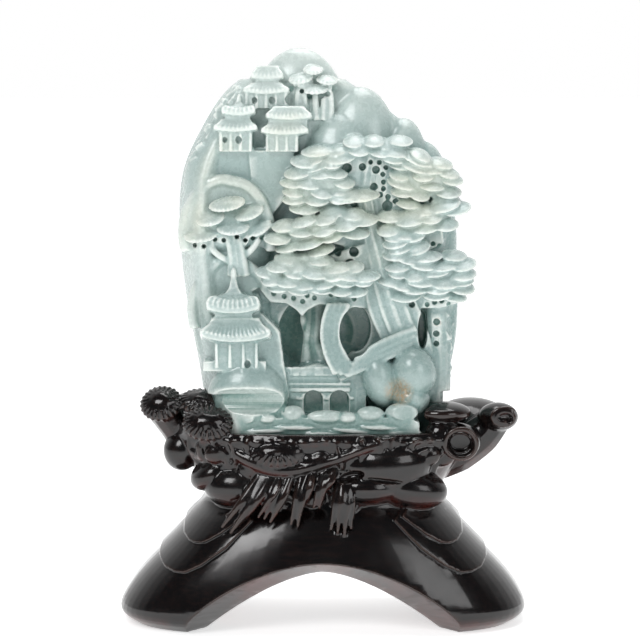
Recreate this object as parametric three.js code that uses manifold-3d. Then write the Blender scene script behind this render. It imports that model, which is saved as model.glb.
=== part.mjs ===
// A jade boulder carved as a mountain landscape, seated in a carved hardwood stand.
// Millimetres, +Z up, the front looks towards -Y, and the origin is under the middle of the stand.
import * as THREE from "three";
import { mergeVertices } from "three/addons/utils/BufferGeometryUtils.js";
import Module from "manifold-3d";

const wasm = await Module();
wasm.setup();

// Driving dimensions of the stone.
const STONE_WIDTH = 152;
const STONE_DEPTH = 62;
const STONE_HEIGHT = 200;

// Driving dimensions of the stand.
const STAND_WIDTH = 212;
const STAND_DEPTH = 108;
const TRAY_HEIGHT = 102;
const ARCH_RISE = 37;
const ARCH_CEILING = 29;
const FOOT_BEVEL = 8;

// The seat of the stone in the tray.
const POCKET_DEPTH = 5;
const SEAT_CLEARANCE = 0.4;
const SEAT_GAP = 0.3;
const STONE_FLOOR = TRAY_HEIGHT - POCKET_DEPTH;

// The carving is laid out on a grid of whole steps, which the driving dimensions stretch.
const STONE_GRID = { width: 152, depth: 62, height: 200 };
const STAND_GRID = { width: 212, depth: 108, height: 102 };
const STONE_STEP = STONE_HEIGHT / STONE_GRID.height;
const STAND_STEP = TRAY_HEIGHT / STAND_GRID.height;

// Jade leaf pads of the large pine, in grid steps.
const LEAF_PITCH = 14.5;
const LEAF_ROW_PITCH = 7.8;
const LEAF_REACH = 5.8;
const LEAF_THICKNESS = 7;
const LEAF_ROOT = 19;
const LEAF_DROOP = THREE.MathUtils.degToRad(24);

const rightAngle = Math.PI / 2;
const { degToRad } = THREE.MathUtils;

const jade = new THREE.MeshStandardMaterial({ color: 0xc3d6cf, roughness: 0.28, metalness: 0 });
const lacqueredWood = new THREE.MeshStandardMaterial({ color: 0x1c1413, roughness: 0.2, metalness: 0 });

// Joining and cutting

// Turns a closed geometry into a solid that can be joined and cut.
function toSolid(geometry) {
  geometry.deleteAttribute("normal");
  geometry.deleteAttribute("uv");
  const welded = mergeVertices(geometry);
  const vertProperties = new Float32Array(welded.getAttribute("position").array);
  const triVerts = new Uint32Array(welded.getIndex().array);
  return new wasm.Manifold(new wasm.Mesh({ numProp: 3, vertProperties, triVerts }));
}

function join(solids) {
  return solids.reduce((whole, piece) => whole.add(piece));
}

function cut(whole, cutters) {
  return cutters.reduce((rest, cutter) => rest.subtract(cutter), whole);
}

// Gives a solid back as a named mesh, with hollows that reach no surface filled.
function toMesh(name, solid, material) {
  const { vertProperties, triVerts } = solid.getMesh();
  const filled = shells(triVerts).filter((shell) => shellVolume(vertProperties, shell) > 0);
  const geometry = new THREE.BufferGeometry();
  geometry.setAttribute("position", new THREE.BufferAttribute(vertProperties, 3));
  geometry.setIndex(filled.flat());
  const mesh = new THREE.Mesh(geometry, material);
  mesh.name = name;
  return mesh;
}

// Sorts triangles into closed shells that share no corner.
function shells(triVerts) {
  const parent = new Map();
  const root = (corner) => {
    let top = corner;
    while (parent.has(top)) {
      top = parent.get(top);
    }
    return top;
  };
  const link = (a, b) => {
    const rootA = root(a);
    const rootB = root(b);
    if (rootA !== rootB) {
      parent.set(Math.max(rootA, rootB), Math.min(rootA, rootB));
    }
  };
  for (let face = 0; face < triVerts.length; face += 3) {
    link(triVerts[face], triVerts[face + 1]);
    link(triVerts[face], triVerts[face + 2]);
  }
  const groups = new Map();
  for (let face = 0; face < triVerts.length; face += 3) {
    const key = root(triVerts[face]);
    if (!groups.has(key)) {
      groups.set(key, []);
    }
    groups.get(key).push(triVerts[face], triVerts[face + 1], triVerts[face + 2]);
  }
  return [...groups.values()];
}

// Volume inside a shell: a hollow, whose faces look inwards, counts below zero.
function shellVolume(positions, shell) {
  const corner = (index) => new THREE.Vector3().fromArray(positions, index * 3);
  let volume = 0;
  for (let face = 0; face < shell.length; face += 3) {
    const [a, b, c] = [corner(shell[face]), corner(shell[face + 1]), corner(shell[face + 2])];
    volume += a.dot(b.cross(c)) / 6;
  }
  return volume;
}

// Basic shapes

// Stacks rings of equal length, counter-clockwise from above, and closes both ends flat.
function loft(rings) {
  const count = rings[0].length;
  const corners = rings.flat().flatMap((corner) => corner.toArray());
  const faces = [];
  for (let level = 0; level < rings.length - 1; level += 1) {
    for (let side = 0; side < count; side += 1) {
      const next = (side + 1) % count;
      const low = level * count;
      const high = low + count;
      faces.push(low + side, low + next, high + next, low + side, high + next, high + side);
    }
  }
  const last = (rings.length - 1) * count;
  const { indices, indicesTop } = endCaps(rings[0], rings[rings.length - 1]);
  indices.forEach(([a, b, c]) => faces.push(a, c, b));
  indicesTop.forEach(([a, b, c]) => faces.push(last + a, last + b, last + c));
  const geometry = new THREE.BufferGeometry();
  geometry.setAttribute("position", new THREE.Float32BufferAttribute(corners, 3));
  geometry.setIndex(faces);
  return toSolid(geometry);
}

// Triangles of the two flat ends of a loft, each seen from the side that its ring turns about.
function endCaps(bottomRing, topRing) {
  const flat = (ring) => {
    const middle = new THREE.Vector3();
    ring.forEach((corner) => middle.addScaledVector(corner, 1 / ring.length));
    const first = ring[0].clone().sub(middle);
    const quarter = ring[Math.floor(ring.length / 4)].clone().sub(middle);
    const axis = first.clone().cross(quarter).normalize();
    const across = first.normalize();
    const up = axis.clone().cross(across);
    const offsets = ring.map((corner) => corner.clone().sub(middle));
    return offsets.map((offset) => new THREE.Vector2(offset.dot(across), offset.dot(up)));
  };
  return {
    indices: THREE.ShapeUtils.triangulateShape(flat(bottomRing), []),
    indicesTop: THREE.ShapeUtils.triangulateShape(flat(topRing), []),
  };
}

// A ball stretched to three half sizes, turned, and set at a place.
function ball(place, half, { sides = 10, bands = 6, turn = [0, 0, 0] } = {}) {
  const geometry = new THREE.SphereGeometry(1, sides, bands);
  geometry.rotateX(rightAngle);
  geometry.scale(half[0], half[1], half[2]);
  const pose = new THREE.Matrix4().makeRotationFromEuler(new THREE.Euler(...turn, "XYZ"));
  geometry.applyMatrix4(pose.setPosition(place));
  return toSolid(geometry);
}

function block(place, size) {
  const geometry = new THREE.BoxGeometry(...size);
  geometry.translate(place.x, place.y, place.z);
  return toSolid(geometry);
}

// A front outline of x and z, carried from the back to the front.
function prism(outline, frontY, backY) {
  const shape = new THREE.Shape(outline);
  const geometry = new THREE.ExtrudeGeometry(shape, { depth: backY - frontY, bevelEnabled: false });
  geometry.rotateX(rightAngle);
  geometry.translate(0, backY, 0);
  return toSolid(geometry);
}

// A round rod along a smooth line, with a radius at each of its points.
function strand(points, radii, { sides = 5, steps = 5 } = {}) {
  const line = new THREE.CatmullRomCurve3(points);
  const frames = line.computeFrenetFrames(steps, false);
  const rings = [];
  for (let step = 0; step <= steps; step += 1) {
    const share = step / steps;
    const radius = spread(radii, share);
    const middle = line.getPointAt(share);
    const ring = [];
    for (let side = 0; side < sides; side += 1) {
      const angle = (side / sides) * 2 * Math.PI;
      const across = frames.normals[step].clone().multiplyScalar(Math.cos(angle) * radius);
      const up = frames.binormals[step].clone().multiplyScalar(Math.sin(angle) * radius);
      ring.push(middle.clone().add(across).add(up));
    }
    rings.push(ring);
  }
  return loft(rings);
}

// The value at a share of the way along a list of evenly spaced values.
function spread(values, share) {
  const place = share * (values.length - 1);
  const low = Math.min(Math.floor(place), values.length - 2);
  return THREE.MathUtils.lerp(values[low], values[low + 1], place - low);
}

// A round hole or tunnel that runs along Y.
function bore(place, halfWidth, halfHeight, depth, sides = 8) {
  const geometry = new THREE.CylinderGeometry(1, 1, depth, sides);
  geometry.rotateY(Math.PI / sides);
  geometry.scale(halfWidth, 1, halfHeight);
  geometry.translate(place.x, place.y, place.z);
  return toSolid(geometry);
}

// The stone

// A place on the stone, from grid steps across, front to back and up from its underside.
function onStone(x, y, z) {
  return new THREE.Vector3(
    (x * STONE_WIDTH) / STONE_GRID.width,
    (y * STONE_DEPTH) / STONE_GRID.depth,
    (z * STONE_HEIGHT) / STONE_GRID.height,
  );
}

// Sizes on the stone, from grid steps.
function stoneSizes(...steps) {
  return steps.map((step) => step * STONE_STEP);
}

// The two sides of the boulder: height above its underside, and how far it reaches from the middle.
const leftSide = new THREE.SplineCurve([
  new THREE.Vector2(0, -60),
  new THREE.Vector2(33, -64),
  new THREE.Vector2(75, -71.5),
  new THREE.Vector2(112, -74.5),
  new THREE.Vector2(138, -72),
  new THREE.Vector2(160, -62),
  new THREE.Vector2(178, -50),
  new THREE.Vector2(190, -34),
]);
const rightSide = new THREE.SplineCurve([
  new THREE.Vector2(0, 59),
  new THREE.Vector2(33, 64),
  new THREE.Vector2(75, 68),
  new THREE.Vector2(108, 69),
  new THREE.Vector2(132, 63),
  new THREE.Vector2(153, 51),
  new THREE.Vector2(172, 28),
  new THREE.Vector2(190, 2),
]);
const BODY_TOP = 184;
const SECTION_SIDES = 18;
const GROUND_Y = -6;
const RIM_Y = -21;
const BACK_Y = 28;

// Reads a side of the boulder at a height.
function reach(side, height) {
  const samples = 60;
  for (let step = 1; step <= samples; step += 1) {
    const above = side.getPoint(step / samples);
    if (above.x >= height || step === samples) {
      const below = side.getPoint((step - 1) / samples);
      const share = THREE.MathUtils.clamp((height - below.x) / (above.x - below.x), 0, 1);
      return THREE.MathUtils.lerp(below.y, above.y, share);
    }
  }
  return side.getPoint(1).y;
}

// The section of the boulder at a height: a smooth rim at the left, a sunk ground, a round back.
function stoneSection(height) {
  const left = reach(leftSide, height);
  const right = reach(rightSide, height);
  const topShare = Math.max(0, (height - 110) / 90);
  const back = THREE.MathUtils.lerp(BACK_Y, 12, topShare ** 1.6);
  const rim = THREE.MathUtils.lerp(RIM_Y, -6, topShare);
  const ground = THREE.MathUtils.lerp(GROUND_Y, -1, topShare);
  const corners = [
    [left, 3],
    [left + 5, rim * 0.62],
    [left + 12, rim],
    [left + 19, THREE.MathUtils.lerp(rim, ground, 0.5)],
    [left + 24, ground],
    [THREE.MathUtils.lerp(left, right, 0.45), ground],
    [THREE.MathUtils.lerp(left, right, 0.66), ground],
    [right - 14, ground],
    [right - 3, ground * 0.6],
    [right, 6],
    [right - 8, back * 0.72],
    [THREE.MathUtils.lerp(left, right, 0.72), back * 0.96],
    [THREE.MathUtils.lerp(left, right, 0.5), back],
    [THREE.MathUtils.lerp(left, right, 0.28), back * 0.96],
    [left + 8, back * 0.72],
  ];
  const points = corners.map(([x, y]) => onStone(x, y, height));
  const closed = new THREE.CatmullRomCurve3(points, true, "centripetal");
  return closed.getPoints(SECTION_SIDES).slice(0, -1);
}

function boulder() {
  const levels = 10;
  const rings = [];
  for (let level = 0; level <= levels; level += 1) {
    rings.push(stoneSection((BODY_TOP * level) / levels));
  }
  return loft(rings);
}

// A low hill with a round top, from its top point, half width, half depth and height.
function hill(x, y, top, halfWidth, halfDepth, height, options) {
  return ball(onStone(x, y, top - height), stoneSizes(halfWidth, halfDepth, height), options);
}

function peaks() {
  const summit = hill(-12.5, 6, 200, 27, 13, 44, { sides: 10, bands: 6 });
  const rightPeak = hill(19, 3, 180, 20, 14, 34, { sides: 8, bands: 6 });
  const farRightPeak = hill(42, 3, 164, 13, 13, 30, { sides: 8, bands: 5 });
  const lowRightPeak = hill(52, 4, 152, 16, 15, 40, { sides: 8, bands: 6 });
  const middlePeak = hill(9, -3, 167, 21, 13, 34, { sides: 8, bands: 6 });
  return [summit, rightPeak, farRightPeak, lowRightPeak, middlePeak];
}

function lowerHills() {
  const pineHill = hill(-48.4, -6, 135, 22.5, 15, 33, { sides: 8, bands: 6 });
  const pavilionHill = hill(-47, -6, 95, 20, 14, 36, { sides: 8, bands: 6 });
  const leftCrag = hill(-61, -6, 150, 11, 11, 22, { sides: 6, bands: 4 });
  const mound = hill(-38.6, -20, 42, 21, 15, 40, { sides: 8, bands: 6 });
  const wall = prism(
    [flatOn(-31, 65), flatOn(-22, 56), flatOn(-20, 40), flatOn(-17, 22), flatOn(-40, 22), flatOn(-40, 65)],
    onStone(0, -24, 0).y,
    0,
  );
  return [pineHill, pavilionHill, leftCrag, mound, wall];
}

// A corner of a front outline on the stone.
function flatOn(x, z) {
  const place = onStone(x, 0, z);
  return new THREE.Vector2(place.x, place.z);
}

// Upright cliff faces under the summit pavilions, narrowing downwards.
function cliffs() {
  const leftFace = [flatOn(-55, 149), flatOn(-53, 138), flatOn(-36, 118), flatOn(-36, 149)];
  const rightFace = [
    flatOn(-38.5, 149),
    flatOn(-36, 124),
    flatOn(-28, 112),
    flatOn(-20, 122),
    flatOn(-14, 149),
  ];
  const gallery = [
    flatOn(-45, 173),
    flatOn(-45, 149),
    flatOn(-4, 149),
    flatOn(-4, 168),
    flatOn(-15, 173),
  ];
  const depth = (y) => onStone(0, y, 0).y;
  return [
    prism(leftFace, depth(-11), depth(6)),
    prism(rightFace, depth(-13), depth(6)),
    prism(gallery, depth(-6), depth(6)),
  ];
}

// A temple roof: hollow slopes from lifted corners up to a ridge.
function roof({ x, y, eaves, top, halfWidth, halfDepth, ridge = 0.12, lift = 1.6, edge = 1.2 }) {
  const rise = top - eaves;
  const levels = [
    { share: 0.74, z: eaves, raise: 0 },
    { share: 1, z: eaves + edge * 0.6, raise: lift },
    { share: 0.5, z: eaves + edge + rise * 0.3, raise: lift * 0.2 },
    { share: ridge, z: top, raise: 0 },
  ];
  const rings = levels.map(({ share, z, raise }) => {
    const wide = Math.max(share, ridge) * halfWidth;
    const deep = Math.min(share, share * 0.9 + 0.04) * halfDepth;
    const ring = [];
    for (let corner = 0; corner < 8; corner += 1) {
      const angle = (corner * Math.PI) / 4;
      const isCorner = corner % 2 === 1;
      const pull = isCorner ? Math.SQRT2 : 0.92;
      const height = z + (isCorner ? raise : 0);
      ring.push(onStone(x + Math.cos(angle) * wide * pull, y + Math.sin(angle) * deep * pull, height));
    }
    return ring;
  });
  return loft(rings);
}

function room(x, y, floor, top, halfWidth, halfDepth) {
  const size = stoneSizes(halfWidth * 2, halfDepth * 2, top - floor);
  return block(onStone(x, y, (floor + top) / 2), size);
}

function pavilions() {
  const upper = [
    roof({ x: -28.5, y: -5, eaves: 183.6, top: 190.6, halfWidth: 9, halfDepth: 7, ridge: 0.45 }),
    room(-29, -5, 178, 184, 6, 5),
    roof({ x: -29, y: -6, eaves: 176.6, top: 182, halfWidth: 13, halfDepth: 8, ridge: 0.7 }),
    room(-29, -6, 170, 177.5, 8, 6),
  ];
  const left = [
    roof({ x: -43, y: -11, eaves: 165.5, top: 174.6, halfWidth: 9.6, halfDepth: 8 }),
    room(-43.5, -10, 160, 166.5, 6.5, 6),
    roof({ x: -44.5, y: -11, eaves: 157.5, top: 164, halfWidth: 12.4, halfDepth: 9, ridge: 0.6 }),
    room(-44.5, -10, 148, 158.5, 8, 7),
  ];
  const right = [
    roof({ x: -17.5, y: -12, eaves: 163.5, top: 170.4, halfWidth: 14, halfDepth: 8, ridge: 0.62 }),
    room(-18, -11, 158, 164.5, 9, 6),
    roof({ x: -19.5, y: -12, eaves: 156, top: 162.4, halfWidth: 14.4, halfDepth: 9, ridge: 0.7 }),
    room(-21, -11, 148, 157, 8.5, 7),
  ];
  const low = [
    roof({ x: -45.5, y: -23, eaves: 66, top: 85.5, halfWidth: 15, halfDepth: 11, ridge: 0.1, lift: 3 }),
    room(-45.5, -22, 59, 67, 9, 7),
    roof({ x: -44.6, y: -24, eaves: 52.5, top: 63, halfWidth: 20, halfDepth: 12, ridge: 0.5, lift: 2.4 }),
    room(-43, -22, 38, 53.5, 12, 8),
    room(-45, -22, 36, 42, 16, 10),
  ];
  return [...upper, ...left, ...right, ...low];
}

// One flat pad of pine needles, drooping towards the front.
function pad(x, y, z, halfWidth, halfDepth, halfThickness, roll = 0) {
  const options = { sides: 7, bands: 2, turn: [LEAF_DROOP, -roll, 0] };
  return ball(onStone(x, y, z), stoneSizes(halfWidth, halfDepth, halfThickness), options);
}

// One row of pads on a bough: a shelf whose front edge is scalloped and droops.
function padRow({ x, y, z, halfWidth, tilt, bow }) {
  const count = Math.max(1, Math.round((2 * halfWidth) / LEAF_PITCH));
  const pitch = (2 * halfWidth) / count;
  const notch = LEAF_REACH * 0.3;
  const outline = [[-halfWidth, -LEAF_ROOT]];
  for (let leaf = 0; leaf < count; leaf += 1) {
    const start = -halfWidth + leaf * pitch;
    outline.push([start, notch], [start + pitch * 0.28, LEAF_REACH], [start + pitch * 0.72, LEAF_REACH]);
  }
  outline.push([halfWidth, notch], [halfWidth, -LEAF_ROOT]);
  const ring = (share, rise) => outline.map(([along, forward]) => {
    const out = forward > 0 ? forward * share : forward;
    const fall = Math.tan(LEAF_DROOP) * (out > 0 ? out : out * 0.3);
    return onStone(x + along, y - bow(along) - out, z + rise - fall + along * Math.tan(tilt));
  });
  return loft([ring(1, -LEAF_THICKNESS * 0.5), ring(0.1, LEAF_THICKNESS * 0.42)]);
}

// One bough of the large pine: rows of pads stacked like shingles into a swelling mass.
function bough({ x, y, z, halfWidth, halfHeight, tilt = 0, swell = 6 }) {
  const roll = degToRad(tilt);
  const rows = Math.max(2, Math.round((2 * halfHeight) / LEAF_ROW_PITCH));
  const solids = [];
  for (let row = 0; row < rows; row += 1) {
    const up = halfHeight - LEAF_ROW_PITCH * 0.5 - (row * (2 * halfHeight - LEAF_ROW_PITCH)) / (rows - 1);
    const roundness = 1 - 0.72 * (up / halfHeight) ** 2;
    const chord = halfWidth * Math.sqrt(roundness);
    const shift = (row % 2 === 0 ? -0.25 : 0.25) * LEAF_PITCH;
    const bow = (along) => swell * Math.sqrt(Math.max(0.08, roundness - 0.9 * (along / halfWidth) ** 2));
    const place = { x: x + shift, y: y + (halfHeight + up) * 0.1, z: z + up };
    solids.push(padRow({ ...place, halfWidth: chord, tilt: roll, bow }));
  }
  return solids;
}

function largePine() {
  const boughs = [
    bough({ x: 1.5, y: -15, z: 144, halfWidth: 9, halfHeight: 6.5, tilt: 10, swell: 4 }),
    bough({ x: 32, y: -15, z: 148, halfWidth: 23, halfHeight: 6.5, tilt: -10, swell: 4 }),
    bough({ x: 3, y: -16, z: 129, halfWidth: 20, halfHeight: 13.5 }),
    bough({ x: 49, y: -13, z: 131, halfWidth: 18, halfHeight: 15, tilt: -12 }),
    bough({ x: 1, y: -19, z: 107, halfWidth: 27, halfHeight: 8.5, tilt: 12 }),
    bough({ x: 47, y: -16, z: 108.5, halfWidth: 23, halfHeight: 9.5, tilt: 16 }),
    bough({ x: 0, y: -22, z: 85.5, halfWidth: 31, halfHeight: 10, tilt: 3 }),
    bough({ x: 54, y: -18, z: 83, halfWidth: 22, halfHeight: 11.5 }),
  ];
  return boughs.flat();
}

// The plain web of jade between the boughs, with an arched lower edge over the cave.
function pineWeb() {
  const depth = (y) => onStone(0, y, 0).y;
  const upper = [
    flatOn(5, 100),
    flatOn(40, 90),
    flatOn(62, 100),
    flatOn(58, 135),
    flatOn(35, 150),
    flatOn(2, 146),
    flatOn(-12, 120),
  ];
  const leftRise = 67;
  const lower = [
    flatOn(-31, 80),
    flatOn(-30, 73),
    flatOn(-24, leftRise + 3),
    flatOn(-17, leftRise + 2),
    flatOn(-11, 63.5),
    flatOn(-6, leftRise + 2),
    flatOn(4, leftRise + 1),
    flatOn(8.5, 64.5),
    flatOn(14, leftRise),
    flatOn(24, leftRise),
    flatOn(60, leftRise),
    flatOn(66, leftRise + 3),
    flatOn(66, 90),
    flatOn(20, 100),
  ];
  return [prism(upper, depth(-13), 0), prism(lower, depth(-20), 0)];
}

// Trunk and roots, each a bundle of round strands that run down from the canopy.
function trunk() {
  const radii = (values) => stoneSizes(...values);
  const strands = [];
  const flutes = 3;
  for (let flute = 0; flute < flutes; flute += 1) {
    const aside = (flute - (flutes - 1) / 2) * 7.4;
    const line = [
      onStone(44 + aside, -17, 22),
      onStone(42 + aside, -19, 48),
      onStone(36 + aside * 0.95, -19, 68),
      onStone(29 + aside * 0.8, -15, 94),
    ];
    strands.push(strand(line, radii([6, 5.5, 5.5, 4.5]), { steps: 3 }));
  }
  const crown = [onStone(29, -13, 90), onStone(22, -12, 130), onStone(25, -11, 146)];
  const root = [onStone(38, -21, 56), onStone(28, -24, 47), onStone(18, -25, 40), onStone(9, -24, 33)];
  const stem = [onStone(9, -17, 70), onStone(5, -20, 56), onStone(5, -22, 46), onStone(10, -24, 32)];
  const rightColumn = [onStone(59, -9, 70), onStone(59.5, -11, 48), onStone(60, -9, 18)];
  strands.push(strand(crown, radii([9, 6, 4]), { steps: 3 }));
  strands.push(strand(root, radii([6, 5, 4.5, 5]), { steps: 4 }));
  strands.push(strand(stem, radii([6, 5.5, 6, 7]), { steps: 4 }));
  strands.push(strand(rightColumn, radii([6, 5.5, 6]), { steps: 3 }));
  return strands;
}

// The two small pines: one on the left hill and one beside the summit pavilions.
function smallPines() {
  const roll = degToRad(14);
  const hillPads = [
    pad(-49, -20, 120, 10, 7, 4, roll),
    pad(-38, -18, 115, 9, 7, 4, roll),
    pad(-60, -18, 106, 10, 7, 4, roll),
    pad(-45.5, -20, 108.5, 10, 7, 4, roll),
    pad(-33, -17, 108, 8, 6, 4, degToRad(28)),
  ];
  const hillTrunk = strand(
    [onStone(-41, -18, 84), onStone(-43, -20, 94), onStone(-47, -19, 108)],
    stoneSizes(5, 4, 3.5),
    { steps: 4 },
  );
  const hillBranches = [
    [onStone(-43, -18, 94), onStone(-34, -18, 100), onStone(-31, -16, 107)],
    [onStone(-44, -18, 92), onStone(-54, -18, 95), onStone(-60, -17, 103)],
  ].map((line) => strand(line, stoneSizes(2.5, 2, 2), { sides: 4, steps: 2 }));
  const summitPads = [
    pad(-5, -3, 188.6, 6, 6, 2.6),
    pad(-11, -4, 184, 7.5, 6, 2.6),
    pad(2, -4, 183.4, 7.5, 6, 2.6),
    pad(-4.5, -5, 178.6, 8, 7, 3),
  ];
  const summitTrunks = [-9, 2].map((x) => {
    const line = [onStone(x + 1, -6, 164), onStone(x, -7, 172), onStone(x - 0.5, -7, 180)];
    return strand(line, stoneSizes(4, 3.4, 3), { sides: 4, steps: 2 });
  });
  return [...hillPads, hillTrunk, ...hillBranches, ...summitPads, ...summitTrunks];
}

// The bridge with two round arches, and the shore of pebbles in front of it.
function bridge() {
  const depth = (y) => onStone(0, y, 0).y;
  const deck = [
    flatOn(-20, 10),
    flatOn(19, 10),
    flatOn(19, 33),
    flatOn(11, 37),
    flatOn(-4, 39),
    flatOn(-20, 35),
  ];
  const kerb = [flatOn(-19, 25), flatOn(18, 25), flatOn(18, 28), flatOn(-19, 28)];
  const spanWall = prism(deck, depth(-21), depth(-2));
  const kerbBand = prism(kerb, depth(-22.5), depth(-2));
  const arches = [-5, 8.4].map((x) => {
    const crown = bore(onStone(x, -18, 20.5), ...stoneSizes(4.7, 4.7), STONE_STEP * 14, 10);
    const opening = block(onStone(x, -18, 15), stoneSizes(9.4, 14, 11));
    return crown.add(opening);
  });
  return cut(spanWall.add(kerbBand), arches);
}

function rocksAndShore() {
  const lean = degToRad(-14);
  const rearEgg = ball(onStone(29, -20, 31), stoneSizes(9, 11, 15), { sides: 8, turn: [0, lean, 0] });
  const frontEgg = ball(onStone(46.5, -21, 34.5), stoneSizes(12, 12, 14), { sides: 8, turn: [0, lean, 0] });
  const foot = ball(onStone(46, -19, 20), stoneSizes(9, 12, 9), { sides: 8, bands: 4 });
  const slab = prism(shoreOutline(), onStone(0, -34.5, 0).y, 0);
  return [rearEgg, frontEgg, foot, slab];
}

// The front outline of the shore: a low ledge whose top edge swells over each pebble.
function shoreOutline() {
  const halfShore = 49;
  const ledge = 12.5;
  const pebbles = [
    { x: -38.5, halfWidth: 5, top: 15.5 },
    { x: -28.5, halfWidth: 4.6, top: 14.5 },
    { x: -15.5, halfWidth: 6.5, top: 18 },
    { x: 4, halfWidth: 11.5, top: 16.5 },
    { x: 24, halfWidth: 7, top: 18.5 },
    { x: 40, halfWidth: 8, top: 20 },
  ];
  const outline = [flatOn(-halfShore, 0), flatOn(halfShore, 0), flatOn(halfShore, ledge)];
  [...pebbles].reverse().forEach(({ x, halfWidth, top }) => {
    const steps = 4;
    for (let step = 0; step <= steps; step += 1) {
      const angle = (step / steps) * Math.PI;
      outline.push(flatOn(x + halfWidth * Math.cos(angle), ledge + (top - ledge) * Math.sin(angle)));
    }
  });
  outline.push(flatOn(-halfShore, ledge));
  return outline;
}

// The plan of the stone where it sits in the stand: straight along the front, round at the ends.
const seatPlan = [
  [-62, 4],
  [-61, -13],
  [-55, -25],
  [-46, -32],
  [-34, -34.5],
  [0, -35],
  [34, -34.5],
  [49, -32],
  [58, -24],
  [62, -11],
  [63, 4],
  [57, 20],
  [32, 28.4],
  [0, 28.6],
  [-32, 28.4],
  [-57, 20],
];
const SEAT_TRIM = 24;

// The seat plan at a height, moved outwards by a margin.
function seatRing(height, margin = 0) {
  const points = seatPlan.map(([x, y]) => onStone(x, y, height));
  return points.map((corner, index) => {
    const before = points[(index + points.length - 1) % points.length];
    const after = points[(index + 1) % points.length];
    const along = after.clone().sub(before).normalize();
    return corner.clone().add(new THREE.Vector3(along.y, -along.x, 0).multiplyScalar(margin));
  });
}

// The dark hollows: a cave, a hollow between the roots, a slot, and a scoop in the mound.
function hollows() {
  const cave = ball(onStone(-3, -3, 53), stoneSizes(21, 10, 19), { sides: 10, bands: 6 });
  const rootHollow = bore(onStone(16.5, -16, 55.5), ...stoneSizes(8, 12), STONE_STEP * 30, 10);
  const slot = bore(onStone(51, -14, 55), ...stoneSizes(3, 9), STONE_STEP * 24, 8);
  const scoop = ball(onStone(-33, -34, 24), stoneSizes(9, 5, 4), { sides: 7, bands: 4 });
  return [cave, rootHollow, slot, scoop];
}

function waterfall() {
  const fall = [onStone(-5, -3, 68), onStone(-5.5, -5, 56), onStone(-6, -5, 48), onStone(-4, -7, 38)];
  return strand(fall, stoneSizes(5.5, 4.4, 3.6, 6), { sides: 6, steps: 4 });
}

function carveStone() {
  const mass = join([boulder(), ...peaks(), ...lowerHills(), ...cliffs(), ...pineWeb(), ...trunk()]);
  const hollowed = cut(mass, hollows());
  const trees = [...largePine(), ...smallPines()];
  const waterside = [bridge(), waterfall(), ...rocksAndShore()];
  const whole = join([hollowed, ...pavilions(), ...trees, ...waterside]);
  const around = [STONE_WIDTH * 2, STONE_DEPTH * 3];
  const underside = block(onStone(0, 0, -25), [...around, onStone(0, 0, 50).z]);
  const belt = block(onStone(0, 0, SEAT_TRIM / 2), [...around, onStone(0, 0, SEAT_TRIM).z]);
  const seat = loft([seatRing(-1), seatRing(SEAT_TRIM + 1)]);
  return cut(whole, [underside, belt.subtract(seat)]);
}

// The stand

// A place on the stand, from grid steps across, front to back and up from the ground.
function onStand(x, y, z) {
  return new THREE.Vector3(
    (x * STAND_WIDTH) / STAND_GRID.width,
    (y * STAND_DEPTH) / STAND_GRID.depth,
    (z * TRAY_HEIGHT) / STAND_GRID.height,
  );
}

function standSizes(...steps) {
  return steps.map((step) => step * STAND_STEP);
}

// Half width and half depth of the stand at some heights, from the feet up to the rim of the tray.
const standLevels = [
  { z: 0, wide: 106 - FOOT_BEVEL, deep: 54 - FOOT_BEVEL },
  { z: FOOT_BEVEL, wide: 106, deep: 54 },
  { z: 24, wide: 97, deep: 52 },
  { z: 46, wide: 75.5, deep: 45 },
  { z: 56, wide: 66, deep: 40 },
  { z: 64, wide: 59, deep: 35 },
  { z: 72, wide: 62, deep: 35 },
  { z: 90, wide: 74, deep: 41 },
  { z: 98, wide: 78, deep: 42 },
  { z: STAND_GRID.height, wide: 77, deep: 41 },
];

// A rounded rectangle in plan.
function standSection({ z, wide, deep }) {
  const sides = 16;
  const squareness = 0.72;
  const ring = [];
  for (let side = 0; side < sides; side += 1) {
    const angle = (side / sides) * 2 * Math.PI;
    const across = Math.sign(Math.cos(angle)) * Math.abs(Math.cos(angle)) ** squareness;
    const back = Math.sign(Math.sin(angle)) * Math.abs(Math.sin(angle)) ** squareness;
    ring.push(onStand(across * wide, back * deep, z));
  }
  return ring;
}

// The arch between the legs, a tunnel that opens out towards the front and the back.
function archTunnel() {
  const steps = 8;
  const section = (y, halfSpan, rise, power) => {
    const ring = [onStand(-halfSpan, y, -10)];
    for (let step = 0; step <= steps; step += 1) {
      const share = (step / steps) * 2 - 1;
      const height = rise * (1 - Math.abs(share) ** power);
      ring.push(onStand(share * halfSpan, y, height));
    }
    ring.push(onStand(halfSpan, y, -10));
    return ring;
  };
  const outside = 60;
  const throat = 28;
  const flare = 5;
  const sections = [
    section(-outside, 88, ARCH_RISE + flare, 2),
    section(-throat, 60, ARCH_CEILING, 1.6),
    section(throat, 60, ARCH_CEILING, 1.6),
    section(outside, 88, ARCH_RISE + flare, 2),
  ];
  return loft(sections);
}

// One cluster of pine needles: a thick lens that leans outwards.
function needleCluster(x, y, z, halfWidth, halfDepth, halfHeight, turn = [0, 0, 0]) {
  return ball(onStand(x, y, z), standSizes(halfWidth, halfDepth, halfHeight), { sides: 9, bands: 4, turn });
}

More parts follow.
